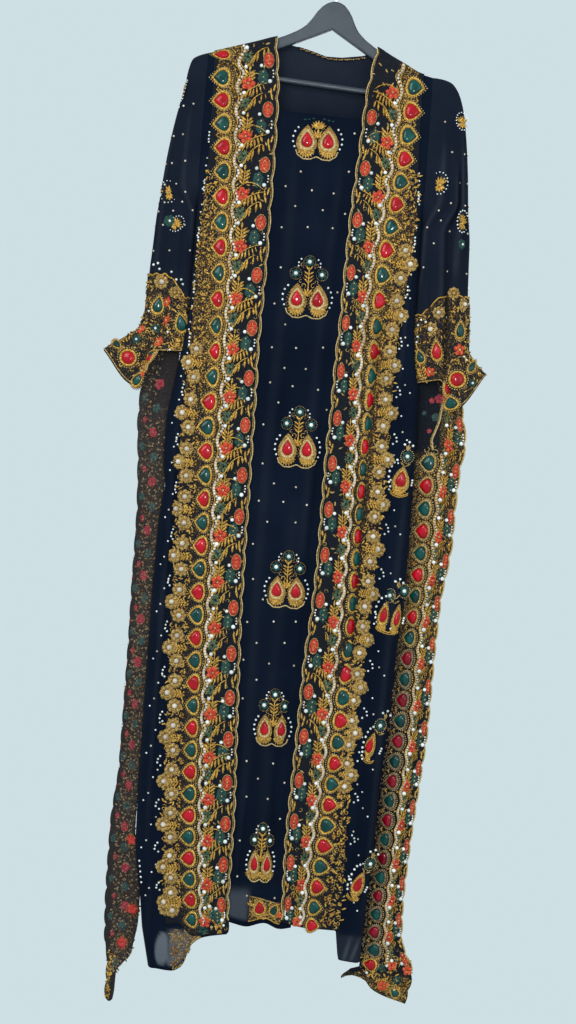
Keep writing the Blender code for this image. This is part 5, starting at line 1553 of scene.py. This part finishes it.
CUFF_PEARLS = {
    "right": (
        (-276.9, -546.8), (-270.7, -543), (-266.7, -552.5), (-246, -556.7), (-237.8, -569.2),
        (-228.9, -567.7), (-224.9, -577.2), (-239.1, -706.3), (-279, -625), (-244, -659),
    ),
    "left": (
        (183.1, -607.4), (190.7, -610.1), (178.9, -615.9), (179.7, -635.3), (179.2, -645.3),
        (230.2, -660.2), (259.1, -664.6), (264.3, -669.2), (224, -600), (259, -548),
    ),
}


def sleeve_work(side):
    """Stones, rosettes and flowers on the cuff, small crowns above it, the same again at the back."""
    middle_x = {"right": -0.249, "left": 0.219}[side]

    def from_axis(points):
        away = points - (middle_x, 0.0, 0.0)
        away[..., 2] = 0.0
        return away
    skin = Skin(lambda u, row: sleeve_point(side, u, row), (0.004, 0.05), -1.0, from_axis)
    work = Needlework(skin, 2.2)
    rows = CUFF_WORK[side]
    u, row = on_sleeve(side, [row[1:3] for row in rows])
    for (kind, _, _, wide, high, turn), a, b in zip(rows, u, row):
        both, turns, drop = np.array([a, 1 - a]), np.array([turn, -turn]), (0.0 if b > 12 else -1.8)
        if kind in ("teal_stone", "red_stone", "round"):
            finish = "red_stone" if kind == "round" else kind
            ringed_stone(work, both, b, finish, wide, high, turns, kind == "round")
        elif kind == "rosette":
            rosette(work, both, b, wide > 0.82, wide)
        elif kind == "crown":
            work.put(CROWN, both, b, "gold", wide, turns, drop)
            work.put(CROWN_BEADS, both, b, "white", (wide, high, 1.0), turns, drop)
        elif kind == "wheat":
            work.put(WHEAT, both, b, "gold", (wide, high, 1.3), turns)
        else:
            shape, finish, middle = {
                "orange": (ORANGE_FLOWER, "orange", "cream"), "green": (SMALL_GREEN, "green", "white"),
                "flower": (GREEN_FLOWER, "green", "white"),
            }[kind]
            work.put(shape, both, b, finish, (wide, high, 1.2), turns, drop)
            work.put(PEARL, both, b, middle, (2.6, 4.4), 0.0, drop)
    u, row = on_sleeve(side, CUFF_PEARLS[side])
    for half in (u, 1 - u):
        work.put(PEARL, half, row, "white", (2.2, 2.6), 0.0, np.where(row > 12.8, 0.0, -1.2))
    a, b = rng.uniform(0.02, 0.98, 620), rng.uniform(12.25, 15.85, 620)
    keep = b > cuff_drop(a) + 0.2
    scatter(work, a[keep], b[keep])
    around = np.linspace(0.01, 0.99, 150)
    work.cord(around, cuff_top(around) + 0.04, "gold", 1.3, 1.8)
    work.cord(around, MOUTH_ROW - 0.07 + 0.0 * around, "antique", 1.1, 1.5)
    bead_u, bead_row = np.meshgrid(np.array([0.14, 0.3, 0.44, 0.58, 0.74, 0.88]), np.arange(4.6, 11.9, 0.82))
    bead_u = bead_u + 0.07 * (np.arange(bead_row.shape[0]) % 2)[:, None]
    work.put(PEARL, bead_u.ravel(), bead_row.ravel(), "pearl", (1.8, 1.8), 0.0, -1.8)
    work.sew(f"sleeve_work_{side}")


def scattered_beads():
    """Small cream beads on the inset and the fronts, in staggered rows about 40 mm apart."""
    row, column = np.meshgrid(np.arange(40), np.arange(5), indexing="ij")
    z = -0.3 - 0.0335 * row + 0.004 * np.sin(5.0 * row + column)
    x = -0.082 + 0.042 * column + 0.021 * (row % 2) - 0.02 * row / 40
    x, z = (x + 0.003 * np.sin(9.0 * column + 2.0 * row)).ravel(), z.ravel()
    clear = (x > FRONT["right"].read("inner", z) + 0.008) & (x < FRONT["left"].read("inner", z) - 0.008)
    for middle_x, middle_z, half_width, half_height in CENTRE_MOTIFS:
        beside = ((x - middle_x) / (half_width + 0.01)) ** 2 + ((z - middle_z) / (half_height + 0.022)) ** 2
        clear &= beside > 1
    work = Needlework(CENTRE_SKIN, 0.2)
    work.put(PEARL, x[clear], z[clear], "pearl", (1.9, 2))
    work.sew("beads_on_inset")
    for side, station in (("right", (3.35, 3.75)), ("left", (3.3, 3.62))):
        skin = Skin(lambda a, b: front_point(side, a, b), (0.02, 0.001))
        work = Needlework(skin, 0.2)
        z = np.arange(-0.36, -1.6, -0.04)
        across = np.where(np.arange(len(z)) % 2 == 0, station[0], station[1])
        work.put(PEARL, across, z, "pearl", (1.7, 1.8))
        work.put(PEARL, across + 0.22, z - 0.013, "white", (1.6, 1.8))
        if side == "right":
            work.put(PEARL, 4.25, np.linspace(-1.556, -1.592, 5), "white", (1.9, 2))
        work.sew(f"beads_on_front_{side}")


def turned_corner():
    """Dull backs of stitches on the right front's corner, where its hem is folded over."""
    skin = Skin(lambda station, z: front_point("right", station, z), (0.02, 0.001))
    work = Needlework(skin, 0.4)
    station, z = rng.uniform(1.2, 2.75, 420), rng.uniform(-1.733, -1.668, 420)
    x = front_point("right", station, z)[:, 0]
    lower, upper = FRONT_HEM["right"].read("z", x), BAND_HEM["right"].read("z", x)
    keep = (z > lower + 0.004) & (z < upper) & (x > -0.17 - 0.3 * (z + 1.7))
    scatter(work, station[keep], z[keep], ("dull_gold", "antique", "copper"))
    edge = np.linspace(1.15, 2.6, 24)
    edge_z = front_hem("right", edge, FRONT_HEM["right"]) + 0.003
    work.put(BEAD, edge, edge_z, "antique", (1.9, 2.2))
    work.sew("turned_corner_work")


def hem_piece_top(x):
    return -1.606 + 0.004 * np.cos(np.pi * (x + 0.036) / 0.05)


def hem_piece():
    """The piece of embroidered border at the inset's hem, with its red and teal stones."""
    x = np.linspace(-0.036, 0.0185, 41)
    top = hem_piece_top(x)
    z = top + (CENTRE_HEM.read("z", x) + 0.008 - top) * np.linspace(0, 1, 25)[:, None]
    points = centre_point(x[None], z)
    points = points + outwards(points) * 0.0017
    ground_piece("hem_piece_ground", points, 0.0011, 0.1, "hem_border")
    work = Needlework(CENTRE_SKIN, 2.1)
    ringed_stone(work, -0.018, -1.621, "red_stone", 7.8, 9.8, 0.1)
    ringed_stone(work, 0.008, -1.623, "teal_stone", 5.8, 8.6, -0.4)
    work.put(ORANGE_FLOWER, 0.0165, -1.63, "orange", 0.5)
    rim = np.linspace(-0.035, 0.0178, 30)
    work.cord(rim, hem_piece_top(rim) - 0.0015, "antique", 0.9, 1.4)
    work.cord(rim, CENTRE_HEM.read("z", rim) + 0.009, "gold", 1, 1.6)
    a, b = rng.uniform(-0.034, 0.017, 70), rng.uniform(-1.638, -1.61, 70)
    scatter(work, a, b)
    work.sew("hem_piece_work")


def neck_strip():
    """The dark strip inside the back neckline, with its little gold sprigs and beads."""
    def point(x, z):
        x, z = together(x, z)
        y = OVER_ARM.read("depth", 1.0) + HANG.read("depth", z) - CLOTH / 2 - GAP - 0.0005
        return np.stack([x, y, z], axis=-1)
    x = np.linspace(-0.06, 0.056, 60)
    top = BACK_NECK.read("z", x) - 0.0004
    points = point(x[None], top - 0.0055 * np.linspace(0, 1, 5)[:, None])
    strip = shell("neck_strip", points, CLOTH_WALL, [CLOTH_FINISH], sheer=0.02)
    finished(strip, "binding", "back_neck_binding")
    work = Needlework(Skin(point, (0.001, 0.001)), 0.4)
    at = np.arange(-0.054, 0.053, 0.0095)
    middle = BACK_NECK.read("z", at) - 0.0032
    work.put(WHEAT, at - 0.003, middle, "gold", (0.13, 0.22, 0.6), TIP_OUT)
    work.put(CURL, at + 0.0045, middle, "cream", (0.42, 0.42, 0.8))
    work.put(BEAD, at + 0.0045, middle - 0.0002, "pearl", (0.8, 1))
    work.sew("neck_strip_work")


def border(side):
    """The strip that hangs from the side seam."""
    across = np.linspace(0, 1, 15)
    top = BORDER[side].rows[-1, 0]
    hem = BORDER_HEM[side].read("z", across)
    z = top + (hem - top) * np.linspace(0, 1, 230)[:, None]
    points = border_point(side, across[None], z)
    outer_phase = BORDER_JEWELS[side].rows
    count = np.interp(-z[:, -1], -outer_phase[::-1, 1][::-1], outer_phase[:, 0])
    bulge = scallops(count / 2 + 0.2) - 0.0018
    points[:, -1, 0] += SIGN[side] * bulge
    points[:, -2, 0] += 0.4 * SIGN[side] * bulge
    low = ease((-1.05 - z) / 0.35)
    if side == "left":
        gold = -0.36 * low + 0.48 * ease((-1.715 - z) / 0.02)
        gold = gold - 0.5 * ease((z + 0.845) / 0.03) * ease((0.52 - across[None]) / 0.08)
    else:
        tail = ease((-1.728 - z) / 0.015)
        edge = -0.5 * ease((across[None] - 0.8) / 0.1) * ease((-0.9 - z) / 0.1)
        gold = (1 - tail) * (edge - 0.05) + tail * np.where(across[None] > 0.5, 0.1, -0.6)
        gold = gold - 0.7 * ease((z + 0.79) / 0.03) * ease((0.72 - across[None]) / 0.2)
    ground_piece(f"border_ground_{side}", points, 0.0014, gold, f"side_border_{side}", REVERSE)


def border_strip(side):
    table = BORDER_JEWELS[side]

    def point(station, count):
        across = np.interp(station, [-1, 0, 1, 2, 3, 4], [1.6, 1.0, 0.56, 0.28, 0.0, -0.2])
        level = table.read("z", count)
        hem_ref = BORDER_HEM[side].read("z", 0.0)
        hem = BORDER_HEM[side].read("z", np.clip(across, 0, 1))
        z = level + (hem - hem_ref) * ease(1 - (level - hem_ref) / 0.06)
        return border_point(side, across, z)
    first, last = {"right": (0.5, 29.6), "left": (-0.4, 27.6)}[side]
    outward = (0, 1, 0) if side == "right" else (0, -1, 0)
    skin = Skin(point, (0.02, 0.04), -1.0, outward)
    return Strip(skin, table, first - 0.3, first, last, np.arange(first + 0.6, last - 1.0, 2.0))


def border_embroidery(side):
    strip = border_strip(side)
    work = Needlework(strip.skin, 0.6)
    upper = strip.jewels[(strip.jewels > 2) & (strip.jewels < 12)] if side == "left" else strip.jewels
    jewels(work, strip, upper, "antique")
    if side == "left":
        jewels(work, strip, strip.jewels[strip.jewels >= 12], "dull_gold", "dark_red_stone")
    pearl_line(work, strip, 1.9, 2.6 if side == "left" else strip.top)
    flower_columns(work, strip)
    edge_cord(work, strip, lambda count: scallops(count / 2 + 0.2) - 0.0018)
    gold_field(work, strip, 2.45, 2.88, 0.22, 3.0 if side == "left" else None, 4, DULL, 0.7)
    gold_field(work, strip, 0.22, 0.9, 0.36, None, 5, DULL, 0.7)
    if side == "left":
        t = np.linspace(0, 1, 30)
        cord_across = np.interp(t, [0.0, 0.25, 0.55, 0.85, 1.0], [0.7, 0.92, 1.25, 1.85, 1.7])
        work.cord(cord_across, -0.35 + 2.8 * t, "cream", 1.3, 1.8)
        work.cord(cord_across + 0.1, -0.35 + 2.8 * t, "antique", 0.8, 1.2)
        for across, along, finish, size in (
            (1.22, 0.25, "dull_red", 0.95), (1.85, 0.35, "dull_red", 0.6), (1.55, 1.05, "dull_green", 0.9),
            (2.05, 1.65, "dull_red", 0.5), (2.45, 0.9, "dull_green", 0.5),
        ):
            work.put(PETAL_PATCH, across, along, finish, size)
        work.put(CURL, [1.5, 1.75, 2.2], [2.55, 2.2, 2.45], "antique", 1.5, [0.5, 3.4, 2.0])
        flare = Skin(lambda across, z: border_point(side, across, z), (0.01, 0.001))
        tail = Needlework(flare, 0.6)
        ringed_stone(tail, 0.2, -1.708, "red_stone", 8.6, 9.8, 1.4)
        ringed_stone(tail, 0.8, -1.752, "teal_stone", 6, 8, 1.0)
        tail.put(ORANGE_FLOWER, [0.6, 0.92, 0.62], [-1.741, -1.713, -1.706], "orange", 0.75)
        tail.put(SMALL_GREEN, [0.42, 0.8], [-1.712, -1.73], "green", 0.8)
        tail.put(PEARL, [0.52, 0.3, 0.78], [-1.707, -1.722, -1.748], "white", (2.6, 3.4))
        a, z = rng.uniform(0.06, 0.96, 190), rng.uniform(-1.762, -1.69, 190)
        keep = z > BORDER_HEM[side].read("z", a) + 0.007
        scatter(tail, a[keep], z[keep])
        tail.sew("border_flare_work_left")
    work.sew(f"border_embroidery_{side}")
    reverse_work(side, strip)


def reverse_work(side, strip):
    """What the needlework leaves on a border's wrong side: dull backs of stones and threads."""
    skin = Skin(strip.skin.point, strip.skin.steps, -1.0, -strip.skin.outward)
    work = Needlework(skin, 0.6)
    red = strip.jewels[strip.jewels % 2 == 0]
    for shift, finish, size in ((0.0, "dull_red", 9.2), (1.0, "dull_green", 8.4)):
        at = red[red + shift < strip.last] + shift
        across, sizes = 1.45 + 0.2 * np.sin(3 * at), (size / 9.2, size / 8, 1.0)
        work.put(PETAL_PATCH, across, at, finish, sizes, 0.7 * np.sin(2 * at))
    work.put(PETAL_PATCH, 0.35, red[:-1] + 0.6, "dull_green", (0.6, 0.9, 1.0))
    work.put(PETAL_PATCH, 0.55, red[:-1] + 1.5, "dull_red", (0.45, 0.7, 1.0))
    for low, high, columns in ((0.46, 1.1, 4), (1.2, 2.65, 5)):
        first = 3.6 if side == "right" and low > 1.0 else None
        gold_field(work, strip, low, high, 0.27, first, columns, DULL, 0.65)
    if side == "right":
        for at, across in ((27.9, 1.6), (26.1, 2.3), (22.6, 2.4)):
            work.put(PETAL_PATCH, across, at, "red", (1.0, 1.1, 1.2), at)
            work.put(STONE_DOTS, across, at, "gold", (10.5, 12, 1.6))
        a, z = rng.uniform(0.55, 0.92, 90), rng.uniform(-1.8, -1.72, 90)
        tail = Skin(lambda across, z: border_point(side, across, z), (0.01, 0.001), 1.0, skin.outward)
        tail_work = Needlework(tail, 0.8)
        scatter(tail_work, a, z, BRIGHT, 0.5)
        tail_work.sew("border_tail_work_right")
    work.sew(f"border_reverse_{side}")


# Motifs

CENTRE_SKIN = Skin(centre_point, (0.001, 0.001))


def left_front_point(x, z):
    """The left front's surface by x, away from its turn."""
    depth = OVER_ARM.read("depth", 1.0) + HANG.read("depth", z) + creases(FRONT_CREASES["left"], x, z, 0.14)
    return np.stack([x, -depth, z], axis=-1)


LEFT_FRONT_SKIN = Skin(left_front_point, (0.001, 0.001))
MOTIF_BASE = np.array([
    (-0.98, -0.55), (-0.9, -0.78), (-0.62, -0.98), (-0.3, -0.98), (0.0, -0.84), (0.3, -0.98),
    (0.62, -0.98), (0.9, -0.78), (0.98, -0.55),
])


def motif(number, row):
    """Two red drops in gold rings on a lobed base, the later ones under green flowers on gold stems."""
    middle_x, middle_z, half_width, half_height = row
    with_flowers = number > 1
    across, up = half_width / 0.037, half_height / 0.055
    if not with_flowers:
        across, up = half_width / 0.04, 1.0
    drop_z = middle_z - 0.025 * up if with_flowers else middle_z + 0.001
    work = Needlework(CENTRE_SKIN, 0.5)
    bed = dome(drop_outline(20), ((1.0, 0.0), (0.97, 0.8), (0.6, 1.0)))
    stone_z = drop_z - 0.001 * up
    for side in (-1, 1):
        for shape, shift, z, finish, wide, high, out, lift in (
            (bed, 0.0185, drop_z, "antique", 18, 24.5, 1.2, 0),
            (STONE, 0.018, stone_z, "red_stone", 9.2, 13, 4.6, 0.8),
            (STONE_RING, 0.018, stone_z, "cream", 9.6, 13.4, 3, 0.6),
            (drop_rim(0.062, 30), 0.0182, drop_z, "gold", 17.2, 23.6, 3.4, 0),
            (STONE_DOTS, 0.018, drop_z - 0.0006, "gold", 14.4, 19.7, 3.4, 0),
        ):
            x = middle_x + side * shift * across
            work.put(shape, x, z, finish, (wide * across, high * up, out), 0.0, lift)
        arc = np.linspace(-0.55, 0.85, 5)
        bead_x = middle_x + side * across * (0.0185 + 0.0235 * np.cos(arc))
        bead_z = drop_z + up * 0.026 * np.sin(arc)
        work.put(PEARL, bead_x, bead_z, "white", (1.9, 2.4))
    fan = np.linspace(-1.0, 1.0, 9)
    for side in (-1, 1):
        foot_x, foot_z = middle_x + side * 0.0185 * across, drop_z - 0.011 * up
        length, turn = (22.2 - 3.5 * fan ** 2) * up, math.pi + fan
        work.put(LEAF, foot_x + 0.0 * fan, foot_z, "gold", (2.3, length, 2.2), turn)
        between, size = turn[1:] - 0.125, (1.5, 19 * up, 1.6)
        work.put(LEAF, foot_x + 0.0 * between, foot_z, "antique", size, between)
    t = np.linspace(0, 1, 40)
    rim_x = np.interp(t, np.linspace(0, 1, 9), MOTIF_BASE[:, 0]) * 0.0365 * across
    rim_z = np.interp(t, np.linspace(0, 1, 9), MOTIF_BASE[:, 1]) * 0.0345 * up
    work.cord(middle_x + rim_x, drop_z + rim_z, "cream", 1.1, 2)
    for turn, length in ((0.0, 17), (0.5, 14), (-0.5, 14), (0.95, 11), (-0.95, 11)):
        work.put(LEAF, middle_x, drop_z + 0.004 * up, "gold", (1.9, length, 2.6), turn)
    work.put(PEARL, middle_x, drop_z + 0.005 * up, "gold", (2.8, 4))
    for side in (-1, 1):
        work.put(CURL, middle_x + side * 0.0085 * across, drop_z + 0.021 * up, "gold", 1.2, side)
    if with_flowers:
        flower, size = flower_shape(6, 9.2, 3.6, 3.6, 1.8), (0.92 * across ** 0.5, 0.92, 1.0)
        halo = bead_ring(round_outline(24), (11, 11), 1.05, 1.8, 22)
        for x, z in ((0.0, 0.062), (-0.0225, 0.041), (0.0225, 0.041)):
            at_x, at_z = middle_x + x * across, drop_z + z * up
            work.put(flower, at_x, at_z, "green", size)
            work.put(PEARL, at_x, at_z, "white", (3.8, 4.2))
            work.put(halo, at_x, at_z, "antique", size)
        stem_z = drop_z + np.linspace(0.018, 0.052, 8) * up
        work.cord(middle_x + 0.0 * stem_z, stem_z, "gold", 1.1, 1.7)
        for height, turn in ((0.026, 0.8), (0.033, 0.9), (0.04, 1.0), (0.047, 0.6)):
            for side in (-1, 1):
                work.put(LEAF, middle_x, drop_z + height * up, "gold", (1.5, 10.5, 1.8), side * turn)
        for x, z in ((0.0085, 0.034), (0.01, 0.052), (0.0145, 0.066), (0.0185, 0.06), (0.0185, 0.054)):
            for side in (-1, 1):
                at_x, finish = middle_x + side * x * across, "white" if z > 0.053 else "copper"
                work.put(PEARL, at_x, drop_z + z * up, finish, (1.6, 2.2))
        for x, z, turn in ((0.013, 0.028, -0.9), (0.012, 0.056, -1.2)):
            for side in (-1, 1):
                work.put(CURL, middle_x + side * x * across, drop_z + z * up, "antique", 0.9, turn * side)
    else:
        for turn in (-1.1, -0.75, -0.4, 0.0, 0.4, 0.75, 1.1):
            work.put(LEAF, middle_x, drop_z + 0.019, "gold", (1.9, 15, 2.4), turn)
        for x, z in ((0.024, 0.0335), (0.017, 0.0345), (0.009, 0.036)):
            for side in (-1, 1):
                work.put(BEAD, middle_x + side * x, drop_z + z, "green", (2.8, 1.6, 1.8))
    work.sew(f"centre_motif_work_{number}", f"centre_motif_{number}")


def front_motif(number, row):
    """Red drops in gold rings on a fringed base, a flower and a spray over them, white beads beside."""
    middle_x, middle_z, lean, drops = row
    work = Needlework(LEFT_FRONT_SKIN, 0.5)
    c, s = math.cos(lean), math.sin(lean)

    def leaning(u, v):
        u, v = np.asarray(u, float), np.asarray(v, float)
        return middle_x + u * c + v * s, middle_z + v * c - u * s

    def put(shape, u, v, finish, size=1.0, turn=0.0, lift=0.0):
        work.put(shape, *leaning(u, v), finish, size, turn - lean, lift)
    bed = dome(drop_outline(18), ((1.0, 0.0), (0.97, 0.8), (0.6, 1.0)))
    flower = flower_shape(6, 10, 4.4, 4.6, 1.8)
    halo = bead_ring(round_outline(24), (11.2, 11.8), 1.1, 1.8, 20)
    fan = np.linspace(-0.9, 0.9, 7)
    for shift, wide in drops:
        put(bed, shift, 0.0, "antique", (15 * wide, 23.5, 1.2))
        put(STONE, shift, 0.0, "red_stone", (8.6 * wide, 13.2, 4.2), 0.0, 0.8)
        put(STONE_RING, shift, 0.0, "gold", (9 * wide, 13.6, 2.8), 0.0, 0.6)
        put(bead_ring(drop_outline(40), (14.2 * wide, 22.5), 1.1, 3.2, 26), shift, 0.0, "gold")
        length = 19.5 - 3.5 * fan ** 2
        put(LEAF, shift + 0.0 * fan, -0.012, "gold", (2.3, length, 2.2), math.pi + fan * wide)
        flower_u, flower_v, size = shift + 0.003, 0.04 + 0.6 * shift, (0.6 + 0.4 * wide, 1.0, 1.0)
        put(flower, flower_u, flower_v, "green", size)
        put(PEARL, flower_u, flower_v, "white", (3.6, 3.8, 4.2))
        put(halo, flower_u, flower_v, "cream", size)
    base = np.linspace(-1.0, 1.0, 12)
    reach = 0.0155 * max(wide for _, wide in drops) + 0.5 * (len(drops) - 1) * 0.02
    for drop, half_width in ((0.0275, 1.1), (0.0305, 0.9)):
        work.cord(*leaning(reach * base, -drop + 0.006 * base ** 2), "gold", half_width, 1.6)
    for v, turn in (
        (0.022, 0.9), (0.022, -0.9), (0.03, 0.7), (0.03, -0.7), (0.048, 0.35), (0.048, -0.35), (0.05, 0.0),
    ):
        put(LEAF, 0.002, v, "antique", (1.5, 11.5, 1.8), turn)
    put(PEARL, [-0.005, 0.002, 0.009], [0.059, 0.0645, 0.0595], "white", (2.2, 2.6))
    arc = np.linspace(-0.9, 1.2, 7)
    put(PEARL, -0.0065 - reach * np.cos(arc), 0.006 + 0.027 * np.sin(arc), "white", (2.2, 2.6))
    put(PEARL, reach + 0.0035 + 0.0 * arc[1:4], 0.012 * arc[1:4], "white", (1.9, 2.4))
    work.sew(f"front_motif_work_{number}", f"front_motif_{number}")


# Build

for side in SIGN:
    front_cloth(side)
    sleeve_cloth(side)
    band(side)
    band_embroidery(side)
    cuff(side)
    sleeve_work(side)
    border(side)
    border_embroidery(side)
centre_cloth()
back_cloth()
scattered_beads()
hem_piece()
turned_corner()
neck_strip()
for number, row in enumerate(CENTRE_MOTIFS, 1):
    motif(number, row)
for number, row in enumerate(FRONT_MOTIFS, 1):
    front_motif(number, row)

plastic = plastic_material()
for node, finish in (("hanger_arms", plastic), ("hanger_bar", plastic), ("hanger_hook", wire_material())):
    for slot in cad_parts[node].material_slots:
        slot.material = finish


# Stage, light and camera


def stage():
    """A round floor below the hems."""
    radius, floor_z, sides = 1.15, -2.15, 64
    t = np.linspace(0, 2 * np.pi, sides, endpoint=False)
    rim = np.stack([radius * np.cos(t), radius * np.sin(t), np.full(sides, floor_z)], axis=1)
    points = np.concatenate([rim, [[0, 0, floor_z]]])
    around = np.arange(sides)
    tris = np.stack([around, np.roll(around, -1), np.full(sides, sides)], axis=1)
    floor = mesh_of("floor", points, [], tris, [floor_material()])


def light(name, place, aim, energy, size, colour):
    data = bpy.data.lights.new(name, "AREA")
    data.energy, data.size, data.color = energy, size, colour
    obj = bpy.data.objects.new(name, data)
    bpy.context.scene.collection.objects.link(obj)
    obj.location = place
    direction = np.array(aim, float) - np.array(place, float)
    tilt = math.acos(-direction[2] / np.linalg.norm(direction))
    obj.rotation_euler = (tilt, 0.0, math.atan2(direction[0], -direction[1]) + math.pi)


def camera():
    """The photograph's view: straight on, the garment leaning by the roll, its plane just filling."""
    roll, distance, plane_y, frame_height = math.radians(4.2), 3.2, -0.012, 1.741
    middle_x, middle_z, sensor = -0.019, -0.9491, 36.0
    data = bpy.data.cameras.new("camera")
    data.sensor_fit = "VERTICAL"
    data.sensor_height = sensor
    data.lens = sensor * distance / frame_height
    obj = bpy.data.objects.new("camera", data)
    bpy.context.scene.collection.objects.link(obj)
    c, s = math.cos(roll), math.sin(roll)
    obj.matrix_world = Matrix((
        (c, -s, 0.0, middle_x), (0.0, 0.0, -1.0, plane_y - distance), (s, c, 0.0, middle_z),
        (0.0, 0.0, 0.0, 1.0),
    ))
    bpy.context.scene.camera = obj


stage()
light("key", (-1.5, -2.4, 0.6), (0.0, 0.0, -0.7), 48.0, 1.6, (1.0, 0.99, 0.97))
light("front", (0.15, -3.1, -0.45), (0.0, 0.0, -0.8), 26.0, 0.3, (1.0, 1.0, 1.0))
light("fill", (1.8, -2.2, -0.2), (0.0, 0.0, -0.8), 18.0, 2.0, (0.92, 0.97, 1.0))
light("back", (0.6, 2.4, 0.3), (0.0, 0.0, -0.9), 40.0, 2.0, (0.95, 0.98, 1.0))
world = bpy.data.worlds.new("pale_room")
world.use_nodes = True
feed(world.node_tree, world.node_tree.nodes["Background"], Color=(0.62, 0.74, 0.78), Strength=1.0)
bpy.context.scene.world = world
bpy.context.scene.view_settings.view_transform = "Standard"
camera()
